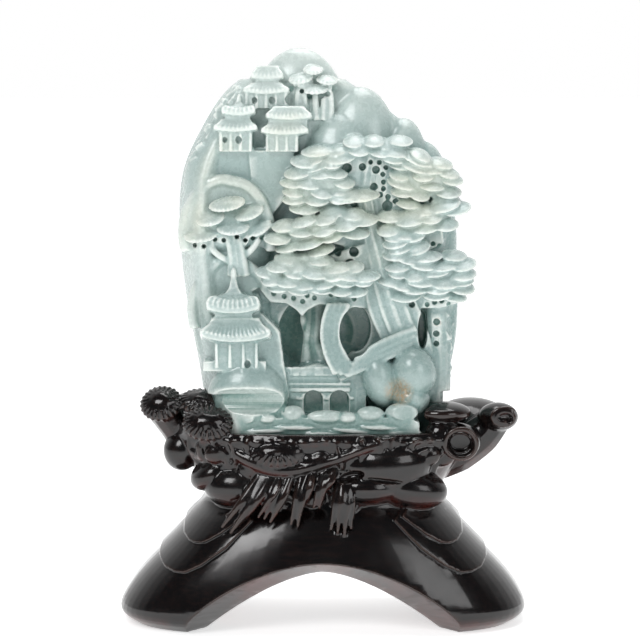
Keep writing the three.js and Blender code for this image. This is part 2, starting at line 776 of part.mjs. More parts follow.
function trayEnds() {
  const leftCone = strand(
    [onStand(-72, -8, 92), onStand(-79, -11, 103), onStand(-83, -13, 114)],
    standSizes(7, 8, 10.5),
    { sides: 7, steps: 3 },
  );
  const rightHorn = strand(
    [onStand(70, -4, 84), onStand(82, -6, 95), onStand(92, -8, 106)],
    standSizes(12, 12, 9),
    { sides: 7, steps: 3 },
  );
  return [
    leftCone,
    needleCluster(-83.5, -14, 115, 10.8, 9, 4, [degToRad(20), 0, 0]),
    needleCluster(-61, -20, 115, 13, 12, 5, [degToRad(12), 0, 0]),
    needleCluster(-58, -30, 108.5, 12.5, 10, 5, [degToRad(16), 0, 0]),
    ball(onStand(-62, -16, 102), standSizes(12, 15, 12), { sides: 7, bands: 4 }),
    ball(onStand(-73, -14, 90), standSizes(9.5, 10, 10.5), { sides: 8, bands: 4 }),
    ball(onStand(-70, 16, 104), standSizes(15, 19, 12), { sides: 8, bands: 4 }),
    rightHorn,
    ball(onStand(90.5, -10, 106.5), standSizes(10.5, 10, 8), { sides: 8, bands: 4 }),
    ball(onStand(61, -21, 110), standSizes(15, 13, 6), { sides: 8, bands: 4 }),
    ball(onStand(60, -20, 101), standSizes(11, 14, 9), { sides: 8, bands: 4 }),
    ball(onStand(70, -22, 96), standSizes(11, 12, 9.5), { sides: 8, bands: 4 }),
    ball(onStand(78, 14, 103), standSizes(20, 19, 10.5), { sides: 8, bands: 4 }),
  ];
}

// Rocks, needles and roots on the front of the tray.
function trayFront() {
  const frontRock = ball(onStand(32, -30, 84), standSizes(24, 15, 17), { sides: 8, bands: 4 });
  const shoulder = ball(onStand(45, -28, 74), standSizes(18, 14, 13), { sides: 8, bands: 4 });
  const cluster = needleCluster(-22.8, -39, 93, 13.5, 8, 6, [degToRad(20), 0, 0]);
  const leftFold = ball(onStand(-44, -28, 74), standSizes(17, 14, 12), { sides: 8, bands: 4 });
  const branch = strand(
    [onStand(-46, -40, 96), onStand(-22, -42, 86), onStand(4, -43, 92), onStand(26, -42, 97)],
    standSizes(4, 4, 3, 2),
    { steps: 5 },
  );
  return [frontRock, shoulder, cluster, leftFold, branch];
}

// Roots that hang over the waist: the left ones lean outwards, the middle ones fall straight.
function roots() {
  const solids = [];
  const addFan = (count, top, bottom, spacingTop, spacingBottom) => {
    for (let index = 0; index < count; index += 1) {
      const aside = index - (count - 1) / 2;
      const high = onStand(top.x + aside * spacingTop, top.y, top.z);
      const low = onStand(bottom.x + aside * spacingBottom, bottom.y, bottom.z + Math.abs(aside) * 2);
      const middle = high.clone().lerp(low, 0.55);
      middle.y -= standSizes(1.5)[0];
      solids.push(strand([high, middle, low], standSizes(3.8, 3.2, 1.4), { sides: 4, steps: 2 }));
    }
  };
  addFan(3, { x: -26, y: -36, z: 84 }, { x: -42, y: -42, z: 52 }, 5.6, 6);
  addFan(2, { x: -13, y: -37, z: 84 }, { x: -19, y: -41, z: 60 }, 5.6, 5);
  addFan(3, { x: 3, y: -36, z: 84 }, { x: 0, y: -42, z: 52 }, 6.6, 7.6);
  return solids;
}

// Overlapping rounded steps that run down the outside of each leg.
function legTerraces() {
  const solids = [];
  [-1, 1].forEach((side) => {
    const lean = side * degToRad(42);
    const turn = [0, lean, 0];
    solids.push(ball(onStand(side * 62, 0, 54), standSizes(16, 37, 6.2), { sides: 8, bands: 4, turn }));
    solids.push(ball(onStand(side * 72, 0, 42.5), standSizes(18, 43, 6.6), { sides: 8, bands: 4, turn }));
  });
  return solids;
}

// The pocket follows the plan of the stone with a clearance all round.
function pocket() {
  const floor = seatRing(0, SEAT_CLEARANCE).map((corner) => corner.setZ(-SEAT_GAP));
  return loft([floor, seatRing(SEAT_TRIM, SEAT_CLEARANCE)]).translate([0, 0, STONE_FLOOR]);
}

function carveStand() {
  const saddle = loft(standLevels.map(standSection));
  const eye = bore(onStand(70, -32, 97), ...standSizes(4.4, 3), STAND_STEP * 10, 10);
  const crevice = ball(onStand(19, -42, 83), standSizes(6, 6, 3), { sides: 8, bands: 6 });
  const body = join([saddle, ...legTerraces(), ...trayEnds(), ...trayFront(), ...roots()]);
  const below = block(onStand(0, 0, -25), [STAND_WIDTH * 2, STAND_DEPTH * 2, onStand(0, 0, 50).z]);
  return cut(body, [archTunnel(), eye, crevice, below, pocket()]);
}

const stone = toMesh("jade_mountain", carveStone(), jade);
stone.position.set(0, 0, STONE_FLOOR);
const stand = toMesh("rosewood_stand", carveStand(), lacqueredWood);

const carving = new THREE.Group();
carving.add(stone, stand);

export default carving;
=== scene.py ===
"""Jade landscape carving on its carved rosewood stand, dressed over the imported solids."""
import logging
import math
import random
from dataclasses import dataclass
from enum import Enum
from typing import Sequence

import bpy
import numpy as np
from mathutils import Euler, Matrix, Vector


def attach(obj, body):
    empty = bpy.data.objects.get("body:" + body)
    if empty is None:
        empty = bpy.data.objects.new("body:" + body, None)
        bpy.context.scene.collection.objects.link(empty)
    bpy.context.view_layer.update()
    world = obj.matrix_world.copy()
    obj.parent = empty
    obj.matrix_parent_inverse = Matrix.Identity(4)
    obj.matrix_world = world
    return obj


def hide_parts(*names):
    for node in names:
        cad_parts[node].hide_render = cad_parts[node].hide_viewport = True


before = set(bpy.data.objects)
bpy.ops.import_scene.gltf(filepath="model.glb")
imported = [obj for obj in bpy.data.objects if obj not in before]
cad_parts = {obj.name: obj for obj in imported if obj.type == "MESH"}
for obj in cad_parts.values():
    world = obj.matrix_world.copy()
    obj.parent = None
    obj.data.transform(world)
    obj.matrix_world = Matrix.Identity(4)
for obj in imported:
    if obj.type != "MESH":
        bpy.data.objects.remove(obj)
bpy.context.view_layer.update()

LOG = logging.getLogger("carving")
MM = 0.001
Place = Sequence[float]
Outline = Sequence[tuple[float, float]]
Item = bpy.types.Object
Material = bpy.types.Material
Node = bpy.types.Node
Socket = bpy.types.NodeSocket
Tree = bpy.types.NodeTree
# Grain in millimetres of the skin that joins the cutters.
CUTTER_VOXEL = 0.5


def to_linear(value: float) -> float:
    """Returns the linear light of one sRGB channel."""
    return value / 12.92 if value <= 0.04045 else ((value + 0.055) / 1.055) ** 2.4


def colour(hex_code: str) -> tuple[float, float, float, float]:
    """Returns an sRGB hex colour as linear RGBA."""
    channels = [int(hex_code[index : index + 2], 16) / 255 for index in (1, 3, 5)]
    return (*[to_linear(channel) for channel in channels], 1.0)


# Finishes


def add_node(tree: Tree, kind: str, settings: dict | None = None, links: dict | None = None) -> Node:
    """Adds one node to a material.

    Args:
        tree: The material's node tree.
        kind: Node type, such as ShaderNodeMix.
        settings: Values for the node's own fields, and for sockets by name or number.
        links: Output sockets to plug in, by input name or number.

    Returns:
        The new node.
    """
    node = tree.nodes.new(kind)
    for key, value in (settings or {}).items():
        if isinstance(key, str) and hasattr(node, key):
            setattr(node, key, value)
        else:
            node.inputs[key].default_value = value
    for key, source in (links or {}).items():
        tree.links.new(source, node.inputs[key])
    return node


def mix_colours(tree: Tree, share: Socket, low: object, high: object) -> Socket:
    """Mixes two colours.

    Args:
        tree: The material's node tree.
        share: How much there is of the second colour.
        low: First colour, a hex code or a socket.
        high: Second colour, a hex code or a socket.

    Returns:
        The mixed colour.
    """
    node = add_node(tree, "ShaderNodeMix", {"data_type": "RGBA"}, {0: share})
    for index, source in ((6, low), (7, high)):
        if isinstance(source, str):
            node.inputs[index].default_value = colour(source)
        else:
            tree.links.new(source, node.inputs[index])
    return node.outputs[2]


def ramp(tree: Tree, source: Socket, low: float, high: float, start: float = 0.0, end: float = 1.0) -> Socket:
    """Maps a value between two limits to a share from 0 to 1, or between two other ends."""
    return add_node(tree, "ShaderNodeMapRange", {1: low, 2: high, 3: start, 4: end}, {0: source}).outputs[0]


def times(tree: Tree, first: Socket, second: object) -> Socket:
    """Multiplies two values.

    Args:
        tree: The material's node tree.
        first: The first value.
        second: The second value, a socket or a number.

    Returns:
        The product.
    """
    node = add_node(tree, "ShaderNodeMath", {"operation": "MULTIPLY"}, {0: first})
    if isinstance(second, (int, float)):
        node.inputs[1].default_value = second
    else:
        tree.links.new(second, node.inputs[1])
    return node.outputs[0]


def noise(tree: Tree, spot: Socket, **settings: float) -> Socket:
    """Returns a cloudy pattern with the given scale and detail."""
    return add_node(tree, "ShaderNodeTexNoise", settings, {"Vector": spot}).outputs["Fac"]


def stored(tree: Tree, name: str) -> Socket:
    """Returns a value that the carving keeps for each point."""
    return add_node(tree, "ShaderNodeAttribute", {"attribute_name": name}).outputs["Fac"]


def away_from(tree: Tree, spot: Socket, centre: Place) -> Socket:
    """Returns how far each point is from a centre."""
    return add_node(tree, "ShaderNodeVectorMath", {"operation": "DISTANCE", 1: centre}, {0: spot}).outputs["Value"]


def set_inputs(node: Node, values: dict) -> None:
    """Sets sockets of a node by name."""
    for name, value in values.items():
        node.inputs[name].default_value = value


def start_material(name: str) -> tuple[Material, Tree, Node, Socket]:
    """Starts a material.

    Args:
        name: The real finish.

    Returns:
        The material, its node tree, its shader, and the place of each point.
    """
    material = bpy.data.materials.new(name)
    material.use_nodes = True
    tree = material.node_tree
    return material, tree, tree.nodes["Principled BSDF"], add_node(tree, "ShaderNodeTexCoord").outputs["Object"]


@dataclass(frozen=True)
class PolishedJade:
    """Waxed jadeite: white on the skin, almost white on the lips of the carving as a painted highlight, and bluish
    green in its depths as painted shade.
    """

    skin: str = "#e6ece7"
    body: str = "#b3c5c2"
    depth: str = "#829c99"
    hollow: str = "#7b9a93"
    warm: str = "#dcdcc8"
    rust: str = "#a2703f"
    patch: str = "#b59a78"
    roughness: tuple = (0.20, 0.34)
    refraction: float = 1.62
    wax: float = 0.25
    wax_roughness: float = 0.12
    glow: float = 0.35
    glow_depth: float = 0.0028

    def build(self) -> Material:
        """Makes the finish of the stone.

        Returns:
            The material.
        """
        material, tree, shader, spot = start_material("waxed celadon jadeite")
        xyz = add_node(tree, "ShaderNodeSeparateXYZ", links={0: spot}).outputs
        base: object = self.body

        def lay(share: Socket, strength: float, tint: str) -> None:
            """Lays a tint over the colour so far."""
            nonlocal base
            base = mix_colours(tree, times(tree, share, strength), base, tint)

        # Ground further back is painted greener and darker: painted shade in the recessed carving.
        lay(ramp(tree, xyz["Y"], -0.025, -0.004), 0.85, self.depth)
        # Clouds of about 25 mm drift through the stone, as its crystals do.
        lay(ramp(tree, noise(tree, spot, Scale=38.0, Detail=3.0, Roughness=0.55), 0.38, 0.66), 0.30, self.body)
        # The plain back is near the outside of the boulder again, so the painted shade of the depths is mostly taken
        # off there.
        lay(ramp(tree, xyz["Y"], 0.010, 0.020), 0.8, self.body)
        # The lower half of the scene is painted darker and greyer towards the bottom, most of all beside the stand.
        lay(ramp(tree, xyz["Z"], 0.182, 0.150), 0.55, self.depth)
        lay(ramp(tree, xyz["Z"], 0.130, 0.108), 0.8, self.hollow)
        # The summit is thin and lets the light through.
        lay(ramp(tree, xyz["Z"], 0.235, 0.29), 0.55, self.skin)
        # Hollows that little light reaches go to a dark teal.
        base = mix_colours(tree, stored(tree, "shelter"), base, self.hollow)
        # Lips and ridges are painted almost white, a painted highlight on the polished lips of the carving.
        lay(ramp(tree, stored(tree, "relief"), 0.55, 0.90), 0.9, self.skin)
        # The left rim and the lower left are the pale outer skin of the boulder.
        lay(times(tree, ramp(tree, xyz["X"], -0.052, -0.070), ramp(tree, xyz["Z"], 0.29, 0.20)), 0.45, self.skin)
        # A yellowish cast on the canopy.
        high = times(tree, ramp(tree, xyz["Z"], 0.155, 0.20), ramp(tree, xyz["Y"], -0.012, -0.020))
        warmth = ramp(tree, noise(tree, spot, Scale=26.0, Detail=1.0), 0.50, 0.68)
        lay(times(tree, warmth, high), 0.45, self.warm)
        # The rocks at the right are painted darker and greyer.
        lay(ramp(tree, away_from(tree, spot, (0.038, -0.026, 0.131)), 0.034, 0.018), 0.5, self.depth)
        # Their rough brown patch, and small rust spots.
        grit = ramp(tree, noise(tree, spot, Scale=700.0, Detail=2.0), 0.3, 0.6)
        for centre, reach, tint, strength in (
            ((0.0385, -0.030, 0.1225), 0.0085, self.patch, 0.85),
            ((0.0585, -0.018, 0.157), 0.0030, self.rust, 0.9),
            ((0.060, -0.012, 0.131), 0.0030, self.rust, 0.6),
            ((-0.0255, -0.022, 0.193), 0.0035, self.warm, 0.9),
            ((0.054, -0.014, 0.209), 0.0032, self.rust, 0.5),
        ):
            lay(times(tree, ramp(tree, away_from(tree, spot, centre), reach, reach * 0.4), grit), strength, tint)
        # Faint whiter and greener veins under a millimetre wide.
        veins = noise(tree, spot, Scale=90.0, Detail=6.0, Distortion=1.6)
        lay(ramp(tree, veins, 0.62, 0.74), 0.22, self.skin)
        tree.links.new(base, shader.inputs["Base Color"])
        sparkle = noise(tree, spot, Scale=420.0, Detail=2.0)
        tree.links.new(ramp(tree, sparkle, 0.3, 0.7, *self.roughness), shader.inputs["Roughness"])
        set_inputs(shader, {
            "Subsurface Weight": self.glow, "Subsurface Radius": (1.0, 1.05, 1.0), "Subsurface Scale": self.glow_depth,
            "IOR": self.refraction, "Coat Weight": self.wax, "Coat Roughness": self.wax_roughness,
        })
        return material


@dataclass(frozen=True)
class LacqueredRosewood:
    """Nearly black polished lacquer over rosewood, browner on worn ridges that also carry a painted highlight, and red
    in patches on faces turned down.
    """

    lacquer: str = "#0d0a0a"
    grain: str = "#1d1311"
    underside: str = "#4b1c15"
    edge: str = "#4a352d"
    roughness: tuple = (0.13, 0.24)
    refraction: float = 1.45
    gloss: float = 0.3
    gloss_roughness: float = 0.08

    def build(self) -> Material:
        """Makes the finish of the stand.

        Returns:
            The material.
        """
        material, tree, shader, spot = start_material("black lacquered rosewood")
        # Grain lines about 1 mm apart run along the block.
        stretched = add_node(tree, "ShaderNodeMapping", {"Scale": (0.12, 1.0, 1.0)}, {"Vector": spot}).outputs[0]
        grain = ramp(tree, noise(tree, stretched, Scale=900.0, Detail=4.0), 0.45, 0.75)
        base = mix_colours(tree, grain, self.lacquer, self.grain)
        patches = noise(tree, spot, Scale=45.0, Detail=2.0)
        # Faces turned down are painted red-brown in patches.
        below = ramp(tree, stored(tree, "underside"), 0.15, 0.8)
        red_patches = times(tree, ramp(tree, patches, 0.42, 0.62), 0.8)
        base = mix_colours(tree, times(tree, below, red_patches), base, self.underside)
        # Ridges are painted a little browner: worn lacquer there, and a painted highlight along the edges.
        worn_ridges_and_highlight = times(tree, ramp(tree, stored(tree, "relief"), 0.62, 0.95), 0.4)
        tree.links.new(mix_colours(tree, worn_ridges_and_highlight, base, self.edge), shader.inputs["Base Color"])
        tree.links.new(ramp(tree, patches, 0.35, 0.65, *self.roughness), shader.inputs["Roughness"])
        set_inputs(shader, {
            "IOR": self.refraction, "Coat Weight": self.gloss, "Coat Roughness": self.gloss_roughness,
        })
        return material


# Carving tools


class Master(Enum):
    """Shapes that are modelled once and copied."""

    BALL = "ball"
    CYLINDER = "cylinder"
    BLOCK = "block"
    LENS = "lens"
    NEEDLES = "needles"
    FINE_NEEDLES = "fine needles"


def select_only(items: Sequence[Item]) -> None:
    """Selects some objects and makes the first one active.

    Args:
        items: The objects.
    """
    bpy.ops.object.select_all(action="DESELECT")
    for item in items:
        item.select_set(True)
    bpy.context.view_layer.objects.active = items[0]


def apply_modifier(item: Item, kind: str, **settings: object) -> None:
    """Adds a modifier with its settings and applies it.

    Args:
        item: The object.
        kind: The modifier's type.
        settings: Values for its fields.
    """
    modifier = item.modifiers.new("step", kind)
    for key, value in settings.items():
        setattr(modifier, key, value)
    select_only([item])
    bpy.ops.object.modifier_apply(modifier=modifier.name)


def smooth_line(corners: Sequence[Vector], count: int, closed: bool = True) -> list[Vector]:
    """Runs a smooth line through corners.

    Args:
        corners: Points that the line passes through.
        count: Number of points returned.
        closed: Whether the line comes back to its start.

    Returns:
        Evenly numbered points along the line.
    """
    total = len(corners)
    spans = total if closed else total - 1
    clamped = lambda index: corners[min(max(index, 0), total - 1)]
    pick = (lambda index: corners[index % total]) if closed else clamped
    points = []
    for step in range(count):
        place = step / (count if closed else count - 1) * spans
        index = min(int(place), spans - 1)
        t = place - index
        before, start, end, after = (pick(index + offset) for offset in (-1, 0, 1, 2))
        bend = (2 * before - 5 * start + 4 * end - after) * t**2 + (3 * start - before - 3 * end + after) * t**3
        points.append(0.5 * (2 * start + (end - before) * t + bend))
    return points


class Carver:
    """Shapes closed shells and cutters for one piece, in millimetres above its own floor, and fuses them."""

    masters: dict[Master, Item] = {}

    def __init__(self, floor: float) -> None:
        """Starts with nothing shaped.

        Args:
            floor: Height of the piece's own zero above the ground.
        """
        self.floor = floor
        self.shells: list[Item] = []
        self.cutters: list[Item] = []
        self.rods: Item | None = None
        self.target = self.shells

    def metres(self, place: Place) -> Vector:
        """Turns a place in millimetres above the floor into metres above the ground."""
        return Vector((place[0], place[1], place[2] + self.floor)) * MM

    @classmethod
    def master(cls, shape: Master) -> Item:
        """Returns the hidden first copy of a repeated shape, modelled when first asked for.

        Args:
            shape: Which shape.

        Returns:
            The first copy.
        """
        if shape not in cls.masters:
            bpy.ops.object.select_all(action="DESELECT")
            if shape is Master.CYLINDER:
                bpy.ops.mesh.primitive_cylinder_add(vertices=24, radius=1, depth=2)
            elif shape is Master.BLOCK:
                bpy.ops.mesh.primitive_cube_add(size=2)
            elif shape in (Master.BALL, Master.LENS):
                bpy.ops.mesh.primitive_uv_sphere_add(segments=32, ring_count=18, radius=1)
                if shape is Master.LENS:
                    for vertex in bpy.context.object.data.vertices:
                        vertex.co.z = math.copysign(abs(vertex.co.z) ** 1.9, vertex.co.z)
            else:
                ribs = 14 if shape is Master.NEEDLES else 24
                bpy.ops.mesh.primitive_uv_sphere_add(segments=ribs * 6, ring_count=24, radius=1)
                cls.groove(bpy.context.object.data, ribs)
            first = bpy.context.object
            first.name = f"first {shape.value}"
            cls.masters[shape] = first
        return cls.masters[shape]

    @staticmethod
    def groove(mesh: bpy.types.Mesh, ribs: int) -> None:
        """Presses ribs that run out from the middle into a ball, as needles lie in a cluster.

        Args:
            mesh: The ball.
            ribs: Number of ribs.
        """
        for vertex in mesh.vertices:
            angle = math.atan2(vertex.co.y, vertex.co.x)
            reach = math.hypot(vertex.co.x, vertex.co.y)
            wave = 0.5 + 0.5 * math.cos(angle * ribs)
            depth = min(1.0, reach * 2.5)
            vertex.co *= 1 - 0.09 * depth * (1 - wave)
            vertex.co.z *= 1 - 0.55 * depth * (1 - wave)

    def copy(self, shape: Master, place: Place, half: Place, turn: Place = (0, 0, 0)) -> Item:
        """Sets a copy of a repeated shape.

        Args:
            shape: Which shape.
            place: Its middle.
            half: Its three half sizes.
            turn: Its turn about X, Y and Z in degrees.

        Returns:
            The copy, with its place in its own mesh.
        """
        first = self.master(shape)
        item = first.copy()
        item.data = first.data.copy()
        angles = Euler([math.radians(angle) for angle in turn])
        pose = Matrix.Translation(self.metres(place)) @ angles.to_matrix().to_4x4()
        item.data.transform(pose @ Matrix.Diagonal((*[size * MM for size in half], 1)))
        bpy.context.collection.objects.link(item)
        self.target.append(item)
        return item

    def ball(self, place: Place, half: Place, turn: Place = (0, 0, 0)) -> Item:
        """Sets a stretched ball."""
        return self.copy(Master.BALL, place, half, turn)

    def block(self, place: Place, half: Place, turn: Place = (0, 0, 0)) -> Item:
        """Sets a block."""
        return self.copy(Master.BLOCK, place, half, turn)

    def hole(self, place: Place, half_width: float, half_height: float, half_depth: float) -> Item:
        """Sets a round bar that runs front to back."""
        return self.copy(Master.CYLINDER, place, (half_width, half_height, half_depth), (90, 0, 0))

    def loft(self, rings: Sequence[Sequence[Place]]) -> Item:
        """Skins a stack of rings, each in millimetres, and closes both ends.

        Args:
            rings: Rings of points from one end to the other.

        Returns:
            The closed shape.
        """
        count = len(rings[0])
        points = [self.metres(point) for ring in rings for point in ring]
        faces = []
        for level in range(len(rings) - 1):
            for side in range(count):
                low, turn = level * count, (side + 1) % count
                faces.append((low + side, low + turn, low + count + turn, low + count + side))
        faces.append(tuple(reversed(range(count))))
        faces.append(tuple(range((len(rings) - 1) * count, len(rings) * count)))
        mesh = bpy.data.meshes.new("skin")
        mesh.from_pydata(points, [], faces)
        item = bpy.data.objects.new("skin", mesh)
        bpy.context.collection.objects.link(item)
        select_only([item])
        bpy.ops.object.mode_set(mode="EDIT")
        return self.close_up(item)

    def close_up(self, item: Item) -> Item:
        """Turns the faces of the mesh in edit mode outwards and keeps it among the shells or cutters in hand.

        Args:
            item: The object.

        Returns:
            The same object.
        """
        bpy.ops.mesh.select_all(action="SELECT")
        bpy.ops.mesh.normals_make_consistent(inside=False)
        bpy.ops.object.mode_set(mode="OBJECT")
        self.target.append(item)
        return item

    def slab(self, outline: Outline, front: float, back: float) -> Item:
        """Carries a front outline of x and z from the front to the back.

        Args:
            outline: Corners as x and z.
            front: Where it starts, front to back.
            back: Where it ends.

        Returns:
            The closed shape.
        """
        bpy.ops.mesh.primitive_circle_add(vertices=len(outline), fill_type="NGON")
        item = bpy.context.object
        for vertex, (x, z) in zip(item.data.vertices, outline):
            vertex.co = self.metres((x, front, z))
        bpy.ops.object.mode_set(mode="EDIT")
        bpy.ops.mesh.select_all(action="SELECT")
        bpy.ops.mesh.extrude_region_move(TRANSFORM_OT_translate={"value": (0, (back - front) * MM, 0)})
        return self.close_up(item)

    def rod(self, points: Sequence[Place], radii: Sequence[float]) -> None:
        """Draws a round rod through points, with a radius at each.

        Args:
            points: Places along the rod.
            radii: Radius at each place.
        """
        if self.rods is None:
            line = bpy.data.curves.new("rods", "CURVE")
            line.dimensions = "3D"
            line.bevel_depth = 1.0
            line.bevel_resolution = 3
            line.resolution_u = 6
            line.use_fill_caps = True
            self.rods = bpy.data.objects.new("rods", line)
            bpy.context.collection.objects.link(self.rods)
        spline = self.rods.data.splines.new("BEZIER")
        spline.bezier_points.add(len(points) - 1)
        for knot, point, radius in zip(spline.bezier_points, points, radii):
            knot.co = self.metres(point)
            knot.radius = radius * MM
            knot.handle_left_type = knot.handle_right_type = "AUTO"

    def join(self, items: list[Item]) -> Item:
        """Joins objects into one and empties their list.

        Args:
            items: The objects.

        Returns:
            The joined object.
        """
        select_only(items)
        if len(items) > 1:
            bpy.ops.object.join()
        whole = items[0]
        items.clear()
        return whole

    def gather_rods(self) -> None:
        """Turns the rods drawn so far into a mesh among the shells in hand."""
        if self.rods is not None:
            select_only([self.rods])
            bpy.ops.object.convert(target="MESH")
            self.target.append(self.rods)
            self.rods = None

    def fuse(self, voxel: float) -> Item:
        """Fuses all shells and rods into one skin made of small even faces.

        Args:
            voxel: Grain in millimetres of the new skin.

        Returns:
            The fused skin.
        """
        self.gather_rods()
        whole = self.join(self.shells)
        apply_modifier(whole, "REMESH", mode="VOXEL", voxel_size=voxel * MM)
        self.shells.append(whole)
        return whole

    def cut(self) -> Item:
        """Joins all cutters and takes them away from the fused skin.

        Returns:
            The skin after the cut.
        """
        whole = self.shells[0]
        cutter = self.join(self.cutters)
        apply_modifier(cutter, "REMESH", mode="VOXEL", voxel_size=CUTTER_VOXEL * MM)
        apply_modifier(whole, "BOOLEAN", operation="DIFFERENCE", solver="MANIFOLD", object=cutter)
        bpy.data.objects.remove(cutter)
        return whole

    def cut_each(self, whole: Item) -> None:
        """Takes the cutters away one by one, so their edges stay sharp.

        Args:
            whole: The fused skin.
        """
        for cutter in self.cutters:
            apply_modifier(whole, "BOOLEAN", operation="DIFFERENCE", solver="MANIFOLD", object=cutter)
            bpy.data.objects.remove(cutter)
        self.cutters.clear()

    @classmethod
    def clear_masters(cls) -> None:
        """Removes the first copies once nothing more is modelled from them."""
        for item in cls.masters.values():
            bpy.data.objects.remove(item)
        cls.masters.clear()


class Skin:
    """The last work on a fused piece: softening, thinning out, and reading its relief."""

    def __init__(self, item: Item, name: str) -> None:
        """Args: item: The fused object. name: Its final name."""
        self.item = item
        item.name = name
        item.data.name = name

    def soften(self, rounds: int, strength: float) -> None:
        """Rubs the surface down, as polishing does."""
        apply_modifier(self.item, "SMOOTH", factor=strength, iterations=rounds)

    def thin_out(self, triangles: int) -> None:
        """Keeps small faces only where the surface bends."""
        apply_modifier(self.item, "DECIMATE", ratio=min(1.0, triangles / self.triangles()))

    def triangles(self) -> int:
        """Returns how many triangles the faces come to."""
        return sum(len(face.vertices) - 2 for face in self.item.data.polygons)

    def vectors(self, name: str) -> np.ndarray:
        """Reads one vector for each point, such as its place."""
        values = np.empty(len(self.item.data.vertices) * 3)
        self.item.data.vertices.foreach_get(name, values)
        return values.reshape(-1, 3)

    def read_relief(self, rounds: int, scale: float) -> None:
        """Stores how far each point stands out of its surroundings, and how far it faces down.

        Args:
            rounds: How wide the surroundings are.
            scale: Height in millimetres that counts as fully raised.
        """
        mesh = self.item.data
        count = len(mesh.vertices)
        points, normals = self.vectors("co"), self.vectors("normal")
        edges = np.empty(len(mesh.edges) * 2, dtype=np.int64)
        mesh.edges.foreach_get("vertices", edges)
        first, second = edges[0::2], edges[1::2]
        links = np.bincount(edges, minlength=count).astype(float)

        def spread_out(values: np.ndarray) -> np.ndarray:
            """Averages each point's values with its neighbours'.

            Args:
                values: One row for each point.

            Returns:
                The averaged values.
            """
            sums = np.stack([
                np.bincount(first, column[second], count) + np.bincount(second, column[first], count)
                for column in values.T
            ], axis=1)
            return 0.5 * values + 0.5 * sums / links[:, None]

        smooth = points
        for _ in range(rounds):
            smooth = spread_out(smooth)
        raised = np.einsum("ij,ij->i", points - smooth, normals) / MM / scale
        self.store("relief", np.clip(0.5 + 0.5 * raised, 0, 1))
        self.store("underside", np.clip(-normals[:, 2], 0, 1))

    def store(self, name: str, values: np.ndarray) -> None:
        """Stores one value for each point under a name that the finish reads."""
        layer = self.item.data.attributes.new(name, "FLOAT", "POINT")
        layer.data.foreach_set("value", values.astype(np.float32))

    def read_shelter(self, spots: Sequence[tuple[Place, Place]], floor: float) -> None:
        """Marks the points that lie inside some hollows.

        Args:
            spots: Middle and half sizes of each hollow in millimetres.
            floor: Height of the piece's own zero above the ground.
        """
        points = self.vectors("co") / MM - np.array((0, 0, floor))
        dark = np.zeros(len(points))
        for middle, half in spots:
            away = np.linalg.norm((points - np.array(middle)) / np.array(half), axis=1)
            dark = np.maximum(dark, np.clip((1.25 - away) / 0.5, 0, 1))
        self.store("shelter", dark)

    def finish(self, material: Material, node: str, slot: str) -> None:
        """Gives the piece its finish and puts it in the place of its solid.

        Args:
            material: The finish.
            node: The solid that it replaces.
            slot: The finish slot of that solid; not used.
        """
        self.item.data.materials.clear()
        self.item.data.materials.append(material)
        select_only([self.item])
        bpy.ops.object.shade_smooth()
        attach(self.item, "root")
        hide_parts(node)
        LOG.info("%s: %d triangles", self.item.name, self.triangles())


# The stone


@dataclass(frozen=True)
class Boulder:
    """The raw boulder: a smooth rim at the left, a sunk ground, a round back."""

    top: float = 184.0
    ground: float = -6.0
    rim: float = -21.0
    back: float = 28.0
    left_side: tuple = ((0, -60), (33, -64), (75, -71.5), (112, -74.5), (138, -72), (160, -62), (178, -50), (190, -34))
    right_side: tuple = ((0, 59), (33, 64), (75, 68), (108, 69), (132, 63), (153, 51), (172, 28), (190, 2))

    @staticmethod
    def reach(side: tuple, height: float) -> float:
        """Reads a side of the boulder at a height."""
        line = smooth_line([Vector(corner) for corner in side], 120, closed=False)
        return float(np.interp(height, [point.x for point in line], [point.y for point in line]))

    def section(self, height: float) -> list[Place]:
        """Returns the plan of the boulder at a height.

        Args:
            height: Height above the piece's own zero.

        Returns:
            Points around the plan.
        """
        left, right = self.reach(self.left_side, height), self.reach(self.right_side, height)
        share = max(0.0, (height - 110) / 90)
        back = self.back + (12 - self.back) * share**1.6
        crown = max(0.0, (height - self.top + 14) / 14)
        back = (back + 6) * math.sqrt(1 - 0.85 * min(1.0, crown) ** 2) - 6
        rim = self.rim + (-6 - self.rim) * share
        ground = self.ground + (-1 - self.ground) * share
        across = lambda part: left + (right - left) * part
        corners = [
            (left, 3), (left + 5, rim * 0.62), (left + 12, rim), (left + 19, (rim + ground) / 2), (left + 24, ground),
            (across(0.45), ground), (across(0.66), ground), (right - 14, ground), (right - 3, ground * 0.6), (right, 6),
            (right - 8, back * 0.72), (across(0.72), back * 0.96), (across(0.5), back), (across(0.28), back * 0.96),
            (left + 8, back * 0.72),
        ]
        return [(point.x, point.y, height) for point in smooth_line([Vector(corner) for corner in corners], 60)]

    def carve(self, tool: Carver) -> None:
        """Sets the boulder."""
        levels = 36
        tool.loft([self.section(self.top * level / levels) for level in range(levels + 1)])


